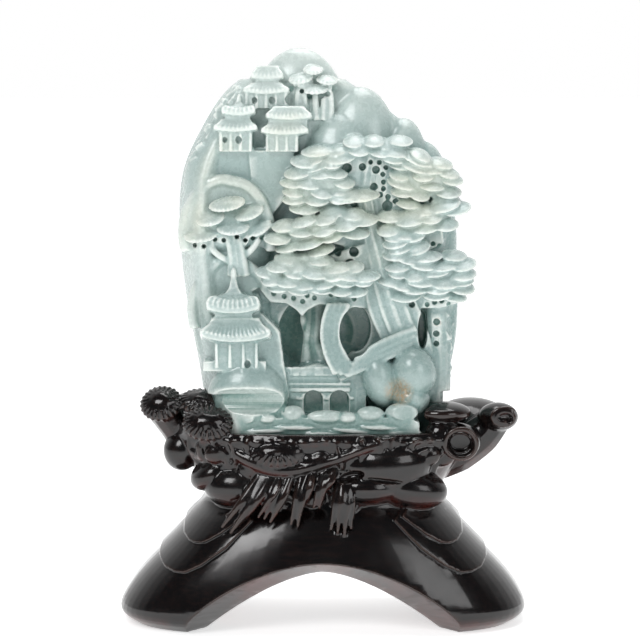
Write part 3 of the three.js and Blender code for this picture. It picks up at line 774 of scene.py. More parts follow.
@dataclass(frozen=True)
class Peaks:
    """The smooth round peaks behind the scene, the lower hills and the cliffs."""

    hills: tuple = (
        (-12.5, 6, 200, 27, 13, 44),
        (19, 3, 180, 20, 14, 34),
        (42, 3, 164, 13, 13, 30),
        (52, 4, 152, 16, 15, 40),
        (9, -3, 167, 21, 13, 34),
        (-48.4, -6, 135, 22.5, 9, 33),
        (-47, -6, 95, 20, 9, 36),
        (-61, -6, 150, 11, 9, 22),
        (-38.6, -22, 42, 21, 13, 21),
        (-38.6, -18, 34, 20, 9, 34),
    )
    pine_dome: tuple = (
        (-70.5, 98), (-71.5, 106.7), (-70.4, 116.9), (-67.3, 123.0), (-63.1, 128.6), (-58.1, 132.7), (-52.0, 134.6),
        (-46.0, 133.7), (-39.8, 131.9), (-34.2, 127.5), (-29.6, 119.4), (-27.0, 110.8), (-26.1, 98),
    )
    pavilion_dome: tuple = (
        (-66.0, 58), (-67.2, 64.6), (-67.1, 72.3), (-64.5, 80.0), (-60.4, 85.0), (-57.2, 89.2), (-52.2, 93.4),
        (-46.8, 94.4), (-41.5, 92.9), (-36.5, 89.3), (-32.0, 85.0), (-28.5, 80),
    )

    def carve_back(self, tool: Carver) -> None:
        """Sets low smooth hills on the plain back of the stone.

        Args:
            tool: Where the shapes are set.
        """
        for place, half in (
            ((-26, 17, 40), (32, 12.2, 52)), ((24, 16, 52), (34, 13.2, 62)), ((-4, 12, 96), (30, 16.4, 50)),
            ((-40, 10, 84), (24, 15, 40)),
        ):
            tool.ball(place, half)

    def carve_domes(self, tool: Carver) -> None:
        """Sets the two domes that stand behind the left pine and the left pavilion, each with a rounded rim."""
        for outline, front, rim in ((self.pine_dome, -17.5, 3.2), (self.pavilion_dome, -18.5, 2.8)):
            tool.slab(outline, front + rim * 0.9, 0)
            tool.rod([(x * 0.985 - 0.7, front + rim, z - rim * 0.6) for x, z in outline], [rim] * len(outline))

    def carve(self, tool: Carver) -> None:
        """Sets the hills, the cliffs and the wall beside the cave.

        Args:
            tool: Where the shapes are set.
        """
        for x, y, top, wide, deep, high in self.hills:
            tool.ball((x, y, top - high), (wide, deep, high))
        tool.slab([(-55, 149), (-53, 138), (-36, 118), (-36.5, 149)], -11, 6)
        tool.slab([(-38.5, 149), (-36, 124), (-28, 112), (-20, 122), (-14, 149)], -13, 6)
        tool.slab([(-45, 173), (-45, 149), (-4, 149), (-4, 168), (-15, 173)], -6, 6)
        tool.slab([(-31, 65), (-22, 56), (-20, 40), (-17, 22), (-40, 22), (-40, 65)], -24, 0)

    def carve_crags(self, tool: Carver) -> None:
        """Sets the small rough spires on the left shoulder.

        Args:
            tool: Where the shapes are set.
        """
        draw = random.Random(11)
        for _ in range(120):
            height = draw.uniform(139, 182)
            left = Boulder.reach(Boulder.left_side, height)
            x = left + draw.uniform(4, 14)
            size = draw.uniform(0.8, 1.9)
            turn = (draw.uniform(-20, 20), draw.uniform(20, 70), draw.uniform(-30, 30))
            tool.block((x, draw.uniform(-12, -7) + (height - 139) * 0.12, height), (size, size, size * 1.4), turn)
        for _ in range(30):
            size = draw.uniform(1.0, 2.4)
            turn = (draw.uniform(-30, 30), draw.uniform(20, 70), draw.uniform(-30, 30))
            place = (draw.uniform(57, 64.5), draw.uniform(-15, -10), draw.uniform(26, 74))
            tool.block(place, (size, size, size * 1.3), turn)


@dataclass(frozen=True)
class Roof:
    """A temple roof with hollow slopes, lifted corners and rows of tiles."""

    x: float
    y: float
    eaves: float
    top: float
    wide: float
    deep: float
    ridge: float = 0.12
    lift: float = 1.6
    tiles: float = 2.1
    # Share of the full width, part of the rise and part of the lift at each level, for both kinds of roof.
    spire: tuple = (
        (0.62, 0, 0), (0.95, 0.05, 0.7), (1.0, 0.17, 1.0), (0.90, 0.33, 0.75), (0.62, 0.41, 0.30), (0.32, 0.48, 0.08),
        (0.17, 0.62, 0), (0.11, 0.80, 0), (0.06, 1.0, 0),
    )
    terrace: tuple = (
        (0.66, 0, 0), (0.96, 0.06, 0.8), (1.0, 0.26, 1.0), (0.88, 0.50, 0.55), (0.74, 0.75, 0.2), (0.66, 1.0, 0),
    )

    def ring(self, share: float, height: float, lift: float, sides: int = 48) -> list[Place]:
        """Returns one level of the roof, square in plan with its corners raised.

        Args:
            share: Part of the full width.
            height: Height above the piece's own zero.
            lift: Rise of the corners.
            sides: Number of points.

        Returns:
            Points around the roof.
        """
        points = []
        for side in range(sides):
            angle = side / sides * 2 * math.pi
            c, s = math.cos(angle), math.sin(angle)
            corner = (min(abs(c), abs(s)) / max(abs(c), abs(s))) ** 2
            reach = 1 / max(abs(c), abs(s)) ** 0.9
            wide = max(share, self.ridge) * self.wide
            deep = share * 0.9 * self.deep + 0.3
            points.append((self.x + c * reach * wide, self.y + s * reach * deep, height + lift * corner))
        return points

    def carve(self, tool: Carver) -> None:
        """Sets the roof and its rows of tiles.

        Args:
            tool: Where the shapes are set.
        """
        rise = self.top - self.eaves
        rows = self.spire if self.ridge < 0.3 else self.terrace
        tool.loft([self.ring(share, self.eaves + part * rise, self.lift * up) for share, part, up in rows])
        count = int(self.wide * 1.8 / self.tiles)
        for index in range(count + 1):
            along = -0.9 + 1.8 * index / count
            points = []
            for share, part, up in rows[2:5]:
                across = along * max(share, self.ridge) * self.wide
                front = self.y - share * 0.9 * self.deep - 0.3
                points.append((self.x + across, front, self.eaves + part * rise + self.lift * up * along**2))
            tool.rod(points, [0.5, 0.5, 0.35])


@dataclass(frozen=True)
class Pavilions:
    """The four temple pavilions, each with a roof over a room over another roof."""

    roofs: tuple = (
        Roof(-28.5, -5, 183.2, 190.6, 8.6, 7, ridge=0.40, lift=1.6),
        Roof(-29, -6, 176.0, 182, 12.4, 8, ridge=0.66, lift=1.8),
        Roof(-43, -11, 164.9, 176.5, 9.0, 8, ridge=0.06, lift=2.4),
        Roof(-44.5, -11, 156.9, 163.6, 11.6, 9, ridge=0.56, lift=1.8),
        Roof(-17.5, -12, 162.9, 170.2, 12.2, 8, ridge=0.62, lift=1.8),
        Roof(-19.5, -12, 155.4, 162.2, 12.6, 9, ridge=0.66, lift=1.8),
        Roof(-45.6, -22, 65.0, 86.0, 14.2, 12, ridge=0.05, lift=3.4, tiles=2.4),
        Roof(-44.4, -22, 51.0, 63.4, 18.6, 15, ridge=0.5, lift=3.6, tiles=2.2),
    )
    # Middle, front to back place, floor, top, half width, half depth, columns and door.
    rooms: tuple = (
        (-28.5, -5, 178, 184.5, 6, 5, 0),
        (-29, -6, 169, 177.5, 11, 5, 5),
        (-43.5, -10, 160, 166.5, 6.5, 6, 0),
        (-44.5, -10, 147, 158.5, 8.5, 6, 4),
        (-18, -11, 158, 164.5, 10, 6, 0),
        (-21, -11, 147, 157, 8.5, 6, 4),
        (-45.5, -22, 61, 67, 9.5, 8, 0),
        (-44, -22, 38, 53.5, 11, 7, 4),
    )
    # Doors and round windows: across, front to back, up, half width.
    openings: tuple = (
        (-38.5, -29, 39.6, 1.6), (-43, -16, 153, 1.6), (-50, -16, 153, 1.2), (-17.5, -11, 173.5, 1.9),
        (-35, -11, 173, 1.4), (-26, -11, 173, 1.6),
    )

    def carve(self, tool: Carver) -> None:
        """Sets all roofs, rooms, columns and the finial.

        Args:
            tool: Where the shapes are set.
        """
        for roof in self.roofs:
            roof.carve(tool)
        for x, y, floor, top, wide, deep, columns in self.rooms:
            tool.block((x, y, (floor + top) / 2), (wide, deep, (top - floor) / 2))
            for column in range(columns):
                across = x - wide + 1 + column * (2 * wide - 2) / (columns - 1)
                tool.rod([(across, y - deep - 0.6, floor), (across, y - deep - 0.6, top)], [0.9, 0.9])
        tool.block((-45, -21, 38.5), (16, 8, 2.6))
        tool.ball((-45.6, -22, 84.5), (1.7, 1.7, 4.0))

    def cut(self, tool: Carver) -> None:
        """Cuts the doors and windows."""
        for *place, half in self.openings:
            tool.hole(place, half, half * 1.25, 3)
        tool.block((-31.6, -14, 152), (3.6, 4, 4.4))


# The pines


@dataclass(frozen=True)
class Bough:
    """One mass of needle pads on the large pine."""

    x: float
    y: float
    z: float
    wide: float
    high: float
    tilt: float = 0.0
    swell: float = 6.0


@dataclass(frozen=True)
class LargePine:
    """The large pine: boughs of overlapping lens-shaped pads, a fluted trunk, roots, and a drilled web."""

    pad_pitch: float = 10.2
    row_pitch: float = 4.2
    pad_wide: float = 8.0
    pad_deep: float = 7.6
    pad_thick: float = 2.5
    droop: float = 22.0
    boughs: tuple = (
        Bough(1.5, -15, 144, 10, 6, 10, 4),
        Bough(27, -15, 150, 17, 5, 2, 4),
        Bough(42, -15, 145, 13, 6, -20, 4),
        Bough(-2.5, -16, 130, 17, 14),
        Bough(15.5, -16, 125, 9, 3.6, 0, 4),
        Bough(52.5, -13, 132, 16.5, 14, -10),
        Bough(-1, -19, 108, 26, 7.6, 12),
        Bough(49, -16, 112.5, 22, 7.2, 14),
        Bough(42.5, -17, 99, 9.5, 6, 14, 4),
        Bough(-9, -19, 93, 13, 4.6, 8, 5),
        Bough(-3, -22, 83.5, 29, 8, -1),
        Bough(54.5, -18, 84, 21.5, 12),
    )

    def carve_bough(self, tool: Carver, bough: Bough, draw: random.Random) -> None:
        """Sets the core of a bough and its rows of pads.

        Args:
            tool: Where the shapes are set.
            bough: The bough.
            draw: Source of the random changes.
        """
        slope = math.tan(math.radians(bough.tilt))
        core = (bough.wide * 0.84, bough.swell + 3, bough.high * 0.8)
        tool.ball((bough.x, bough.y + 2, bough.z), core, (0, -bough.tilt, 0))
        rows = max(2, round((2 * bough.high - 2 * self.pad_thick) / self.row_pitch) + 1)
        for row in range(rows):
            up = (bough.high - self.pad_thick) * (1 - 2 * row / (rows - 1))
            roundness = 1 - 0.72 * (up / bough.high) ** 2
            chord = max(self.pad_wide * 0.6, bough.wide * math.sqrt(roundness) - self.pad_wide * 0.62)
            count = max(1, round(2 * chord / self.pad_pitch) + 1)
            shift = (0.25 if row % 2 else -0.25) * self.pad_pitch
            for index in range(count):
                along = shift
                if count > 1:
                    centred = 1 - abs(2 * index / (count - 1) - 1)
                    along = -chord + 2 * chord * index / (count - 1) + shift * centred
                along += draw.uniform(-2, 2)
                bow = bough.swell * math.sqrt(max(0.08, roundness - 0.9 * (along / bough.wide) ** 2))
                place = (
                    bough.x + along,
                    bough.y - bow + (bough.high + up) * 0.1 + draw.uniform(-1, 1),
                    bough.z + up + along * slope + draw.uniform(-1.1, 1.1),
                )
                size = draw.uniform(0.74, 1.16)
                half = (
                    self.pad_wide * size,
                    self.pad_deep * draw.uniform(0.9, 1.05),
                    self.pad_thick * draw.uniform(0.9, 1.15),
                )
                roll = -bough.tilt * 0.7
                turn = (self.droop + draw.uniform(-4, 6), roll + draw.uniform(-7, 7), draw.uniform(-12, 12))
                tool.copy(Master.LENS, place, half, turn)

    def carve_web(self, tool: Carver) -> None:
        """Sets the plain plates of stone between the boughs, with an arched lower edge over the cave.

        Args:
            tool: Where the shapes are set.
        """
        tool.slab([(5, 100), (40, 90), (62, 100), (58, 135), (35, 150), (2, 146), (-12, 120)], -13, 0)
        rise = 67
        tool.slab([
            (-31, 82), (-32, 76), (-27, rise + 3), (-19, rise + 2.5), (-13.5, rise - 1), (-10.8, 62.5), (-8, 66),
            (-2, rise + 2), (4, rise + 1.5), (7, 64.5), (9.5, 63), (14, rise), (24, rise), (60, rise), (70, rise + 3),
            (72, 90), (20, 100),
        ], -17.5, 0)

    def carve_trunk(self, tool: Carver) -> None:
        """Sets the fluted trunk, the roots and the draped stem as bundles of rods.

        Args:
            tool: Where the shapes are set.
        """
        tool.rod([(46, -8, 18), (43, -9, 46), (36, -10.5, 66), (28, -8, 94)], [11, 10.5, 10.5, 7])
        flutes = 9
        for flute in range(flutes):
            aside = flute - (flutes - 1) / 2
            drop = 0.22 * aside**2 + (1.1 if flute % 2 else 0)
            tool.rod(
                [
                    (48 + aside * 2.7, -17 + drop, 20),
                    (44 + aside * 2.7, -21 + drop, 46),
                    (36.5 + aside * 2.9, -22 + drop, 66),
                    (28 + aside * 2.0, -18 + drop, 94),
                    (21 + aside * 1.5, -14.5 + drop, 128),
                    (25 + aside * 1.2, -13 + drop, 150),
                ],
                [2.1, 1.9, 1.8, 1.3, 1.0, 0.9],
            )
        tool.rod([(42, -18, 53), (30, -21, 45), (16, -22, 36)], [5, 4.4, 4])
        tool.rod([(8, -15, 70), (4.5, -18, 56), (6, -20, 44), (13, -21, 32)], [5, 4.6, 4.4, 5])
        for fold in range(4):
            aside = fold - 1.5
            tool.rod(
                [
                    (46 + aside, -22, 52 + aside * 3.6), (37, -25, 49 + aside * 3.0), (27, -26.5, 44.5 + aside * 3.0),
                    (14 + aside * 1.6, -27, 37.5 + aside * 2.7),
                ],
                [1.8, 1.7, 1.6, 1.6],
            )
        for fold in range(4):
            aside = fold - 1.5
            tool.rod(
                [
                    (8 + aside * 3.1, -20, 70), (4.2 + aside * 2.9, -23, 57), (5.5 + aside * 2.9, -25, 46),
                    (12 + aside * 3.6, -26, 34),
                ],
                [1.8, 1.6, 1.6, 1.9],
            )
        tool.rod([(59, -9, 72), (60, -12, 48), (60, -11, 18)], [6.5, 6, 6])
        tool.rod([(65, -6, 72), (64, -8, 50), (58, -8, 20)], [5, 4.6, 3.6])

    def carve(self, tool: Carver) -> None:
        """Sets the boughs of the tree."""
        draw = random.Random(5)
        for bough in self.boughs:
            self.carve_bough(tool, bough, draw)

    def cut(self, tool: Carver) -> None:
        """Drills the round holes between the boughs."""
        for face, holes in DRILLED.items():
            for x, z, radius in holes:
                tool.hole((x, face - 1, z), radius * 1.25, radius * 1.25, 3.2 + radius * 0.6)


# Drilled holes by the front to back place of the face that they enter: across, up, radius.
DRILLED: dict[float, tuple] = {
    -13.0: (
        (12.2, 138.7, 2.0), (20.1, 139.2, 1.5), (24.2, 141.7, 1.0), (28.8, 141.5, 1.0), (27.0, 137.7, 1.6),
        (32.1, 138.9, 1.0), (30.6, 135.4, 1.0), (30.9, 131.5, 1.0), (26.0, 129.0, 1.6), (30.9, 128.0, 1.0),
        (29.1, 124.9, 1.2), (33.2, 123.9, 1.1), (37.3, 121.6, 1.2), (32.9, 119.3, 2.1), (9.2, 119.3, 1.0),
        (11.7, 121.3, 1.0), (15.8, 120.3, 1.5), (18.9, 113.1, 2.5), (52.5, 98.3, 1.0), (56.3, 99.8, 1.0),
        (59.6, 98.8, 1.0), (59.9, 94.9, 1.0), (57.1, 91.6, 1.0), (63.3, 89.0, 1.0), (65.6, 94.7, 1.0),
        (50.6, 121.3, 1.0), (54.7, 122.9, 1.0), (56.2, 117.7, 1.0), (3.6, 96.9, 1.0), (7.6, 95.3, 1.4),
        (15.8, 95.9, 2.0), (13.8, 89.2, 2.5), (6.1, 88.2, 1.0),
    ),
    -18.5: (
        (-22.5, 96.4, 1.0), (-17.9, 95.9, 1.0), (-14.9, 98.4, 1.0), (-10.8, 98.4, 1.0), (-14.8, 114.8, 1.0),
        (-10.8, 115.3, 1.0), (-25.5, 79.9, 1.0), (-22.5, 78.3, 1.0), (-25.3, 74.7, 1.0), (-19.9, 73.2, 1.0),
        (-15.1, 72.2, 1.0), (-10.5, 70.6, 1.0), (-8.2, 73.7, 1.0), (-4.4, 72.4, 1.0), (4.1, 74.2, 1.0),
        (7.9, 73.5, 1.0), (12.7, 75.5, 1.0), (14.8, 77.3, 1.0), (15.8, 71.9, 1.0), (45.4, 69.1, 1.3),
        (53.3, 68.9, 1.0), (57.1, 70.1, 1.0), (60.7, 70.9, 1.0), (64.3, 69.1, 1.0),
    ),
    -17.0: (
        (-65.4, 99.5, 1.0), (-60.8, 99.0, 1.0), (-55.2, 102.6, 1.0), (-50.6, 102.1, 1.0), (-43.9, 103.9, 1.0),
        (-39.6, 102.1, 1.0), (-35.8, 103.1, 1.0), (-31.2, 103.3, 1.0), (58.3, 59.9, 1.4), (58.1, 53.9, 1.3),
        (58.1, 48.8, 1.2),
    ),
    -7.0: (
        (-6.9, 175.2, 1.1), (-0.8, 175.4, 1.2), (2.5, 176.2, 1.1), (5.6, 178.2, 1.0), (-16.4, 178.8, 1.0),
        (-10.8, 177.7, 1.0),
    ),
}


@dataclass(frozen=True)
class SmallPines:
    """The pine on the left hill and the pine beside the summit pavilions."""

    # Across, front to back, up, half width, roll in degrees.
    hill_pads: tuple = (
        (-48.8, -21, 120.7, 9.6, 10),
        (-57.4, -20, 113.1, 7.6, 12),
        (-37.6, -19, 116.2, 8.0, 20),
        (-62.1, -19, 104.7, 9.0, 8),
        (-45.8, -21, 108.5, 8.6, 4),
        (-32.6, -18, 108.5, 7.0, 30),
    )
    summit_pads: tuple = (
        (-5, -6, 188.6, 5.4, 0),
        (-11.5, -7, 184, 6.6, 8),
        (2, -7, 183.4, 5.8, -6),
        (-4.5, -9, 178.6, 7.0, 0),
        (-11, -6, 182.4, 6.0, 0),
    )

    def carve(self, tool: Carver) -> None:
        """Sets the pads, trunks and branches of both trees.

        Args:
            tool: Where the shapes are set.
        """
        for *place, wide, roll in self.hill_pads:
            tool.copy(Master.FINE_NEEDLES, place, (wide * 1.05, 6.2, 1.9), (36, -roll, 0))
        for *place, wide, roll in self.summit_pads:
            tool.copy(Master.NEEDLES, place, (wide * 1.05, 5.2, 1.7), (30, -roll, 0))
        tool.ball((-47, -13, 107), (19, 7, 12))
        for aside in (-2.6, 0, 2.6):
            tool.rod([(-43 + aside * 1.4, -17, 84), (-44 + aside, -20, 95), (-47 + aside, -18, 108)], [2.6, 2.2, 2.0])
        for points in (
            [(-43, -18, 92), (-35, -19, 99), (-31, -17, 107)],
            [(-45, -18, 90), (-54, -19, 95), (-61, -17, 103)],
            [(-43, -18, 97), (-39, -19, 103), (-37, -17, 110)],
            [(-56, -18, 96), (-57, -18, 101), (-57, -16, 110)],
        ):
            tool.rod(points, [2.0, 1.7, 1.6])
        for x in (-13, -9.5, -4, 0.5, 4):
            tool.rod([(x * 0.85, -6.5, 163), (x, -7.5, 172), (x * 0.9 - 0.5, -6.5, 181)], [2.2, 1.7, 1.5])


@dataclass(frozen=True)
class Waterside:
    """The cave, the waterfall, the bridge, the rocks, and the shore of pebbles."""

    cave: tuple = ((-3, -3, 53), (21, 10, 19))
    hollow: tuple = ((16.5, -14, 55.5), (8.2, 12.2))
    slot: tuple = ((51, -14, 55.5), (2.5, 9.4))

    def hollow_out(self, tool: Carver) -> None:
        """Cuts the cave, the hollow between the roots, and the slot.

        Args:
            tool: Where the shapes are set.
        """
        tool.ball(*self.cave)
        tool.ball((-14, -7, 52), (9, 9, 17))
        tool.hole(self.hollow[0], *self.hollow[1], 15)
        tool.hole(self.slot[0], *self.slot[1], 12)

    def carve(self, tool: Carver) -> None:
        """Sets the waterfall, the bridge, the rocks and the shore.

        Args:
            tool: Where the shapes are set.
        """
        for aside in (-1.6, 1.6):
            tool.rod(
                [
                    (-5 + aside, -3, 68), (-5.5 + aside, -6, 56), (-6 + aside * 1.2, -6, 48),
                    (-4 + aside * 2.2, -7, 38),
                ],
                [4, 3, 2.6, 4.5],
            )
        tool.rod([(-9.5, -4, 64), (-9.6, -6, 60), (-9, -5, 54)], [2.2, 2.4, 1.6])
        tool.slab([(-20, 10), (19, 10), (19, 33), (11, 37), (-4, 38.5), (-20, 35)], -20.4, -2)
        for low, high, front in ((24.6, 26.6, -22.4), (27.8, 29.2, -21.8)):
            tool.slab([(-19, low), (14, low), (14, high), (-19, high)], front, -2)
        draw = random.Random(3)
        for row in range(5):
            for brick in range(9):
                x = -17.5 + brick * 3.7 + (row % 2) * 1.8
                z = 29.8 + row * 1.7 if row > 1 else 22.8 - row * 1.7
                tool.block((x, -20.4, z), (1.5, 1.0 + draw.uniform(-0.2, 0.2), 0.62))
        lean = -14
        tool.ball((29, -20, 31), (9, 11, 15), (0, lean, 0))
        tool.ball((46.5, -21, 34.8), (11.4, 12, 13.4), (0, lean, 0))
        tool.ball((45, -19, 21), (10, 12, 9))
        tool.slab([(16, 10), (22, 10), (22, 34), (17, 36)], -21, -4)
        tool.slab([(-49, 0), (49, 0), (49, 10), (44, 12.5), (-49, 12.5)], -33, 0)
        for x, y, z, wide, deep, high in (
            (-38.5, -31, 12.5, 5.4, 3.6, 3.4), (-28.5, -31.2, 12, 4.8, 3.4, 2.8), (-15.5, -29, 13.5, 6.8, 5, 5),
            (2, -31, 12.8, 10.5, 4, 3.6), (12, -31, 12.4, 6, 3.8, 3.2), (24, -30.6, 14.2, 7.2, 4.2, 4.2),
            (40, -30.4, 15.2, 8.4, 4.4, 4.9), (-47, -28, 12.5, 4, 4, 3.6),
        ):
            tool.ball((x, y, z), (wide, deep, high))
        for ripple in range(7):
            x = -42 + ripple * 14
            tool.ball((x, -31.6, 4.5 + (ripple % 3) * 1.6), (12, 3.2, 1.7), (0, draw.uniform(-6, 6), 0))

    def cut(self, tool: Carver) -> None:
        """Cuts the arches of the bridge and the pits of the brown patch.

        Args:
            tool: Where the shapes are set.
        """
        for x in (-5, 8.4):
            tool.hole((x, -22, 20.5), 4.9, 4.9, 8)
            tool.block((x, -22, 16.5), (4.9, 8, 3.8))
        for x, z, radius in (
            (40.6, 27.6, 1.3), (40.2, 24.0, 1.0), (43.2, 25.5, 1.2), (37.6, 26.0, 0.8), (37.1, 22.5, 0.9),
        ):
            tool.ball((x, -31, z), (radius * 1.4, 3, radius))
        # The hollow flank under the pale lip of the mound.
        tool.copy(Master.CYLINDER, (-41, -38, 21), (7.4, 10, 21.5), (0, 90, 0))


@dataclass(frozen=True)
class JadeMountain:
    """The stone: one boulder carved as a mountain landscape."""

    floor: float = 97.0
    rough_voxel: float = 0.8
    voxel: float = 0.52
    triangles: int = 188000
    seat_trim: float = 24.0
    seat_plan: tuple = (
        (-62, 4), (-61, -13), (-55, -25), (-46, -32), (-34, -34.5), (0, -35), (34, -34.5), (49, -32),
        (58, -24), (62, -11), (63, 4), (57, 20), (32, 28.4), (0, 28.6), (-32, 28.4), (-57, 20),
    )
    # Middle and half sizes of the hollows that little light reaches.
    shaded: tuple = (
        ((-6, -2, 53), (20, 12, 17)), ((16.5, -6, 55.5), (9.5, 14, 13.5)), ((51, -6, 55.5), (3.5, 12, 10.5)),
        ((-5, -16, 19), (6.5, 10, 6.5)), ((8.4, -16, 19), (6.5, 10, 6.5)), ((-36, -28, 20), (22, 8, 7)),
    )

    def trim_seat(self, tool: Carver) -> None:
        """Cuts the foot of the stone to the plan of its pocket, and its underside flat.

        Args:
            tool: Where the shapes are set.
        """
        outer = [(corner[0] * 3, corner[1] * 3) for corner in self.seat_plan]
        heights = (-0.5, self.seat_trim)
        belt = tool.loft([[(x, y, z) for x, y in outer] for z in heights])
        core = tool.loft([[(x, y, z) for x, y in self.seat_plan] for z in (-8.0, self.seat_trim + 8)])
        tool.target.remove(core)
        apply_modifier(belt, "BOOLEAN", operation="DIFFERENCE", solver="EXACT", object=core)
        bpy.data.objects.remove(core)
        tool.block((0, 0, -20), (120, 60, 20))

    def build(self, finish: PolishedJade) -> Item:
        """Carves the stone and returns it with its finish.

        Args:
            finish: The finish.

        Returns:
            The finished piece.
        """
        tool = Carver(self.floor)
        boulder, peaks, pavilions = Boulder(), Peaks(), Pavilions()
        pine, small, water = LargePine(), SmallPines(), Waterside()
        boulder.carve(tool)
        peaks.carve(tool)
        peaks.carve_domes(tool)
        peaks.carve_back(tool)
        pine.carve_web(tool)
        pine.carve_trunk(tool)
        tool.fuse(self.rough_voxel)
        tool.target = tool.cutters
        water.hollow_out(tool)
        tool.cut()
        tool.target = tool.shells
        peaks.carve_crags(tool)
        pavilions.carve(tool)
        pine.carve(tool)
        small.carve(tool)
        water.carve(tool)
        tool.fuse(self.voxel)
        tool.target = tool.cutters
        pine.cut(tool)
        pavilions.cut(tool)
        water.cut(tool)
        whole = tool.cut()
        self.trim_seat(tool)
        tool.cut_each(whole)
        apply_modifier(whole, "REMESH", mode="VOXEL", voxel_size=self.voxel * MM)
        skin = Skin(whole, "jade_landscape")
        skin.soften(1, 0.5)
        skin.read_relief(26, 0.42)
        drilled = [
            ((x, face + 4, z), (radius * 1.6, 5.5, radius * 1.6))
            for face, holes in DRILLED.items() for x, z, radius in holes
        ]
        skin.read_shelter([*self.shaded, *drilled], self.floor)
        skin.thin_out(self.triangles)
        skin.finish(finish.build(), "jade_mountain", "jade")
        return skin.item


# The stand


@dataclass(frozen=True)
class RosewoodStand:
    """The stand: a carved tray on a narrow waist over two broad legs with an arch between them."""

    wide: float = 106.0
    deep: float = 54.0
    height: float = 102.0
    foot_bevel: float = 8.0
    arch_rise: float = 42.0
    arch_ceiling: float = 29.0
    pocket_floor: float = 97.0
    pocket_gap: float = 0.3
    clearance: float = 0.4
    voxel: float = 0.55
    triangles: int = 150000
    # Two tongues lie over the shoulder of each leg like thick scales: outline across and up, and thickness.
    tongues: tuple = (
        (
            (
                (-48, 72), (-59, 68), (-68, 58), (-72, 53.5), (-71.5, 49.5), (-68.5, 47), (-64.5, 46.2), (-60, 47),
                (-52, 51.5), (-40, 60),
            ),
            7.0,
        ),
        (
            (
                (-46, 70), (-60, 70), (-80, 52), (-86, 42), (-84.5, 36.5), (-81, 33), (-76, 31.6), (-70, 31.8),
                (-62, 35.5), (-50, 44), (-36, 58),
            ),
            3.8,
        ),
    )

    def levels(self) -> list[Vector]:
        """Returns height, half width and half depth from the feet up to the rim of the tray.

        Returns:
            The levels.
        """
        rows = [
            (0, self.wide - self.foot_bevel, self.deep - self.foot_bevel), (self.foot_bevel, self.wide, self.deep),
            (24, 97, 52), (46, 75.5, 45), (56, 66, 40), (64, 59, 35), (72, 62, 35), (90, 74, 41), (98, 78, 42),
            (self.height, 77, 41),
        ]
        return [Vector(row) for row in rows]

    def section(self, height: float, wide: float, deep: float) -> list[Place]:
        """Returns a rounded rectangle in plan.

        Args:
            height: Height above the piece's own zero.
            wide: Half width.
            deep: Half depth.

        Returns:
            Points around the plan.
        """
        points = []
        for side in range(72):
            angle = side / 72 * 2 * math.pi
            c, s = math.cos(angle), math.sin(angle)
            points.append((math.copysign(abs(c) ** 0.72, c) * wide, math.copysign(abs(s) ** 0.72, s) * deep, height))
        return points

    def carve_saddle(self, tool: Carver) -> None:
        """Sets the body of the stand and the rounded steps down its legs.

        Args:
            tool: Where the shapes are set.
        """
        levels = smooth_line(self.levels(), 46, closed=False)
        tool.loft([self.section(*level) for level in levels])
        for outline, thick in self.tongues:
            for side in (1, -1):
                tongue = tool.loft([self.section(up, wide + thick * 0.6, deep + thick) for up, wide, deep in levels])
                mask = tool.slab([(x * side, z) for x, z in outline], -70, 70)
                tool.target.remove(mask)
                apply_modifier(tongue, "BOOLEAN", operation="INTERSECT", solver="MANIFOLD", object=mask)
                bpy.data.objects.remove(mask)

    def half_width(self, height: float) -> float:
        """Returns how far the plain body of the stand reaches to each side at a height."""
        heights, wides, _ = zip(*self.levels())
        return float(np.interp(height, heights, wides))

    def front(self, x: float, height: float) -> float:
        """Returns how far to the front the plain body of the stand reaches at a place."""
        heights, _, deeps = zip(*self.levels())
        share = min(0.98, abs(x) / self.half_width(height))
        return -float(np.interp(height, heights, deeps)) * (1 - share ** (2 / 0.72)) ** 0.36

    def carve_ends(self, tool: Carver) -> None:
        """Sets the needle clusters, lobes and knots at both ends of the tray.

        Args:
            tool: Where the shapes are set.
        """
        tool.rod([(-70, -8, 90), (-77, -12, 102), (-82, -16, 112)], [7, 7.5, 9])
        tool.copy(Master.FINE_NEEDLES, (-83, -20, 115.2), (11.4, 10.4, 5.5), (54, -8, 0))
        tool.copy(Master.FINE_NEEDLES, (-61, -20, 116), (13.5, 10, 5), (34, 4, 0))
        tool.copy(Master.FINE_NEEDLES, (-58.5, -34, 107), (13.5, 10, 6), (58, 0, 0))
        tool.ball((-62, -16, 102), (12, 15, 10))
        tool.ball((-73, -14, 90), (9.5, 10, 10.5))
        tool.ball((-70, 16, 104), (15, 19, 12))
        tool.rod([(56, -4, 80), (70, -5, 88), (82, -6, 97), (91, -8, 106.5)], [9, 11, 10.5, 8])
        tool.ball((90.5, -11, 107), (10.5, 10, 7.5))
        tool.ball((61, -21, 111), (15, 13, 5.4))
        tool.ball((60, -20, 101), (11, 14, 9))
        tool.ball((70, -22, 96), (11, 12, 9.5))
        tool.ball((78, 14, 103), (20, 19, 10.5))
        # A ring around the eye and a curl on the right boss.
        for middle, wide, high, turns, thick in (
            ((70, -33.5, 96.5), 8, 7.5, 1.0, 1.5), ((93, -20.5, 108), 7, 5, 1.7, 1.3),
        ):
            line = []
            steps = int(14 * turns)
            for step in range(steps + 1):
                angle = math.radians(40) + step / steps * turns * 2 * math.pi
                reach = 1 - 0.75 * step / steps * (turns - 1)
                line.append((
                    middle[0] + math.cos(angle) * wide * reach,
                    middle[1] + (1 - reach) * -1.2,
                    middle[2] + math.sin(angle) * high * reach,
                ))
            tool.rod(line, [thick] * len(line))

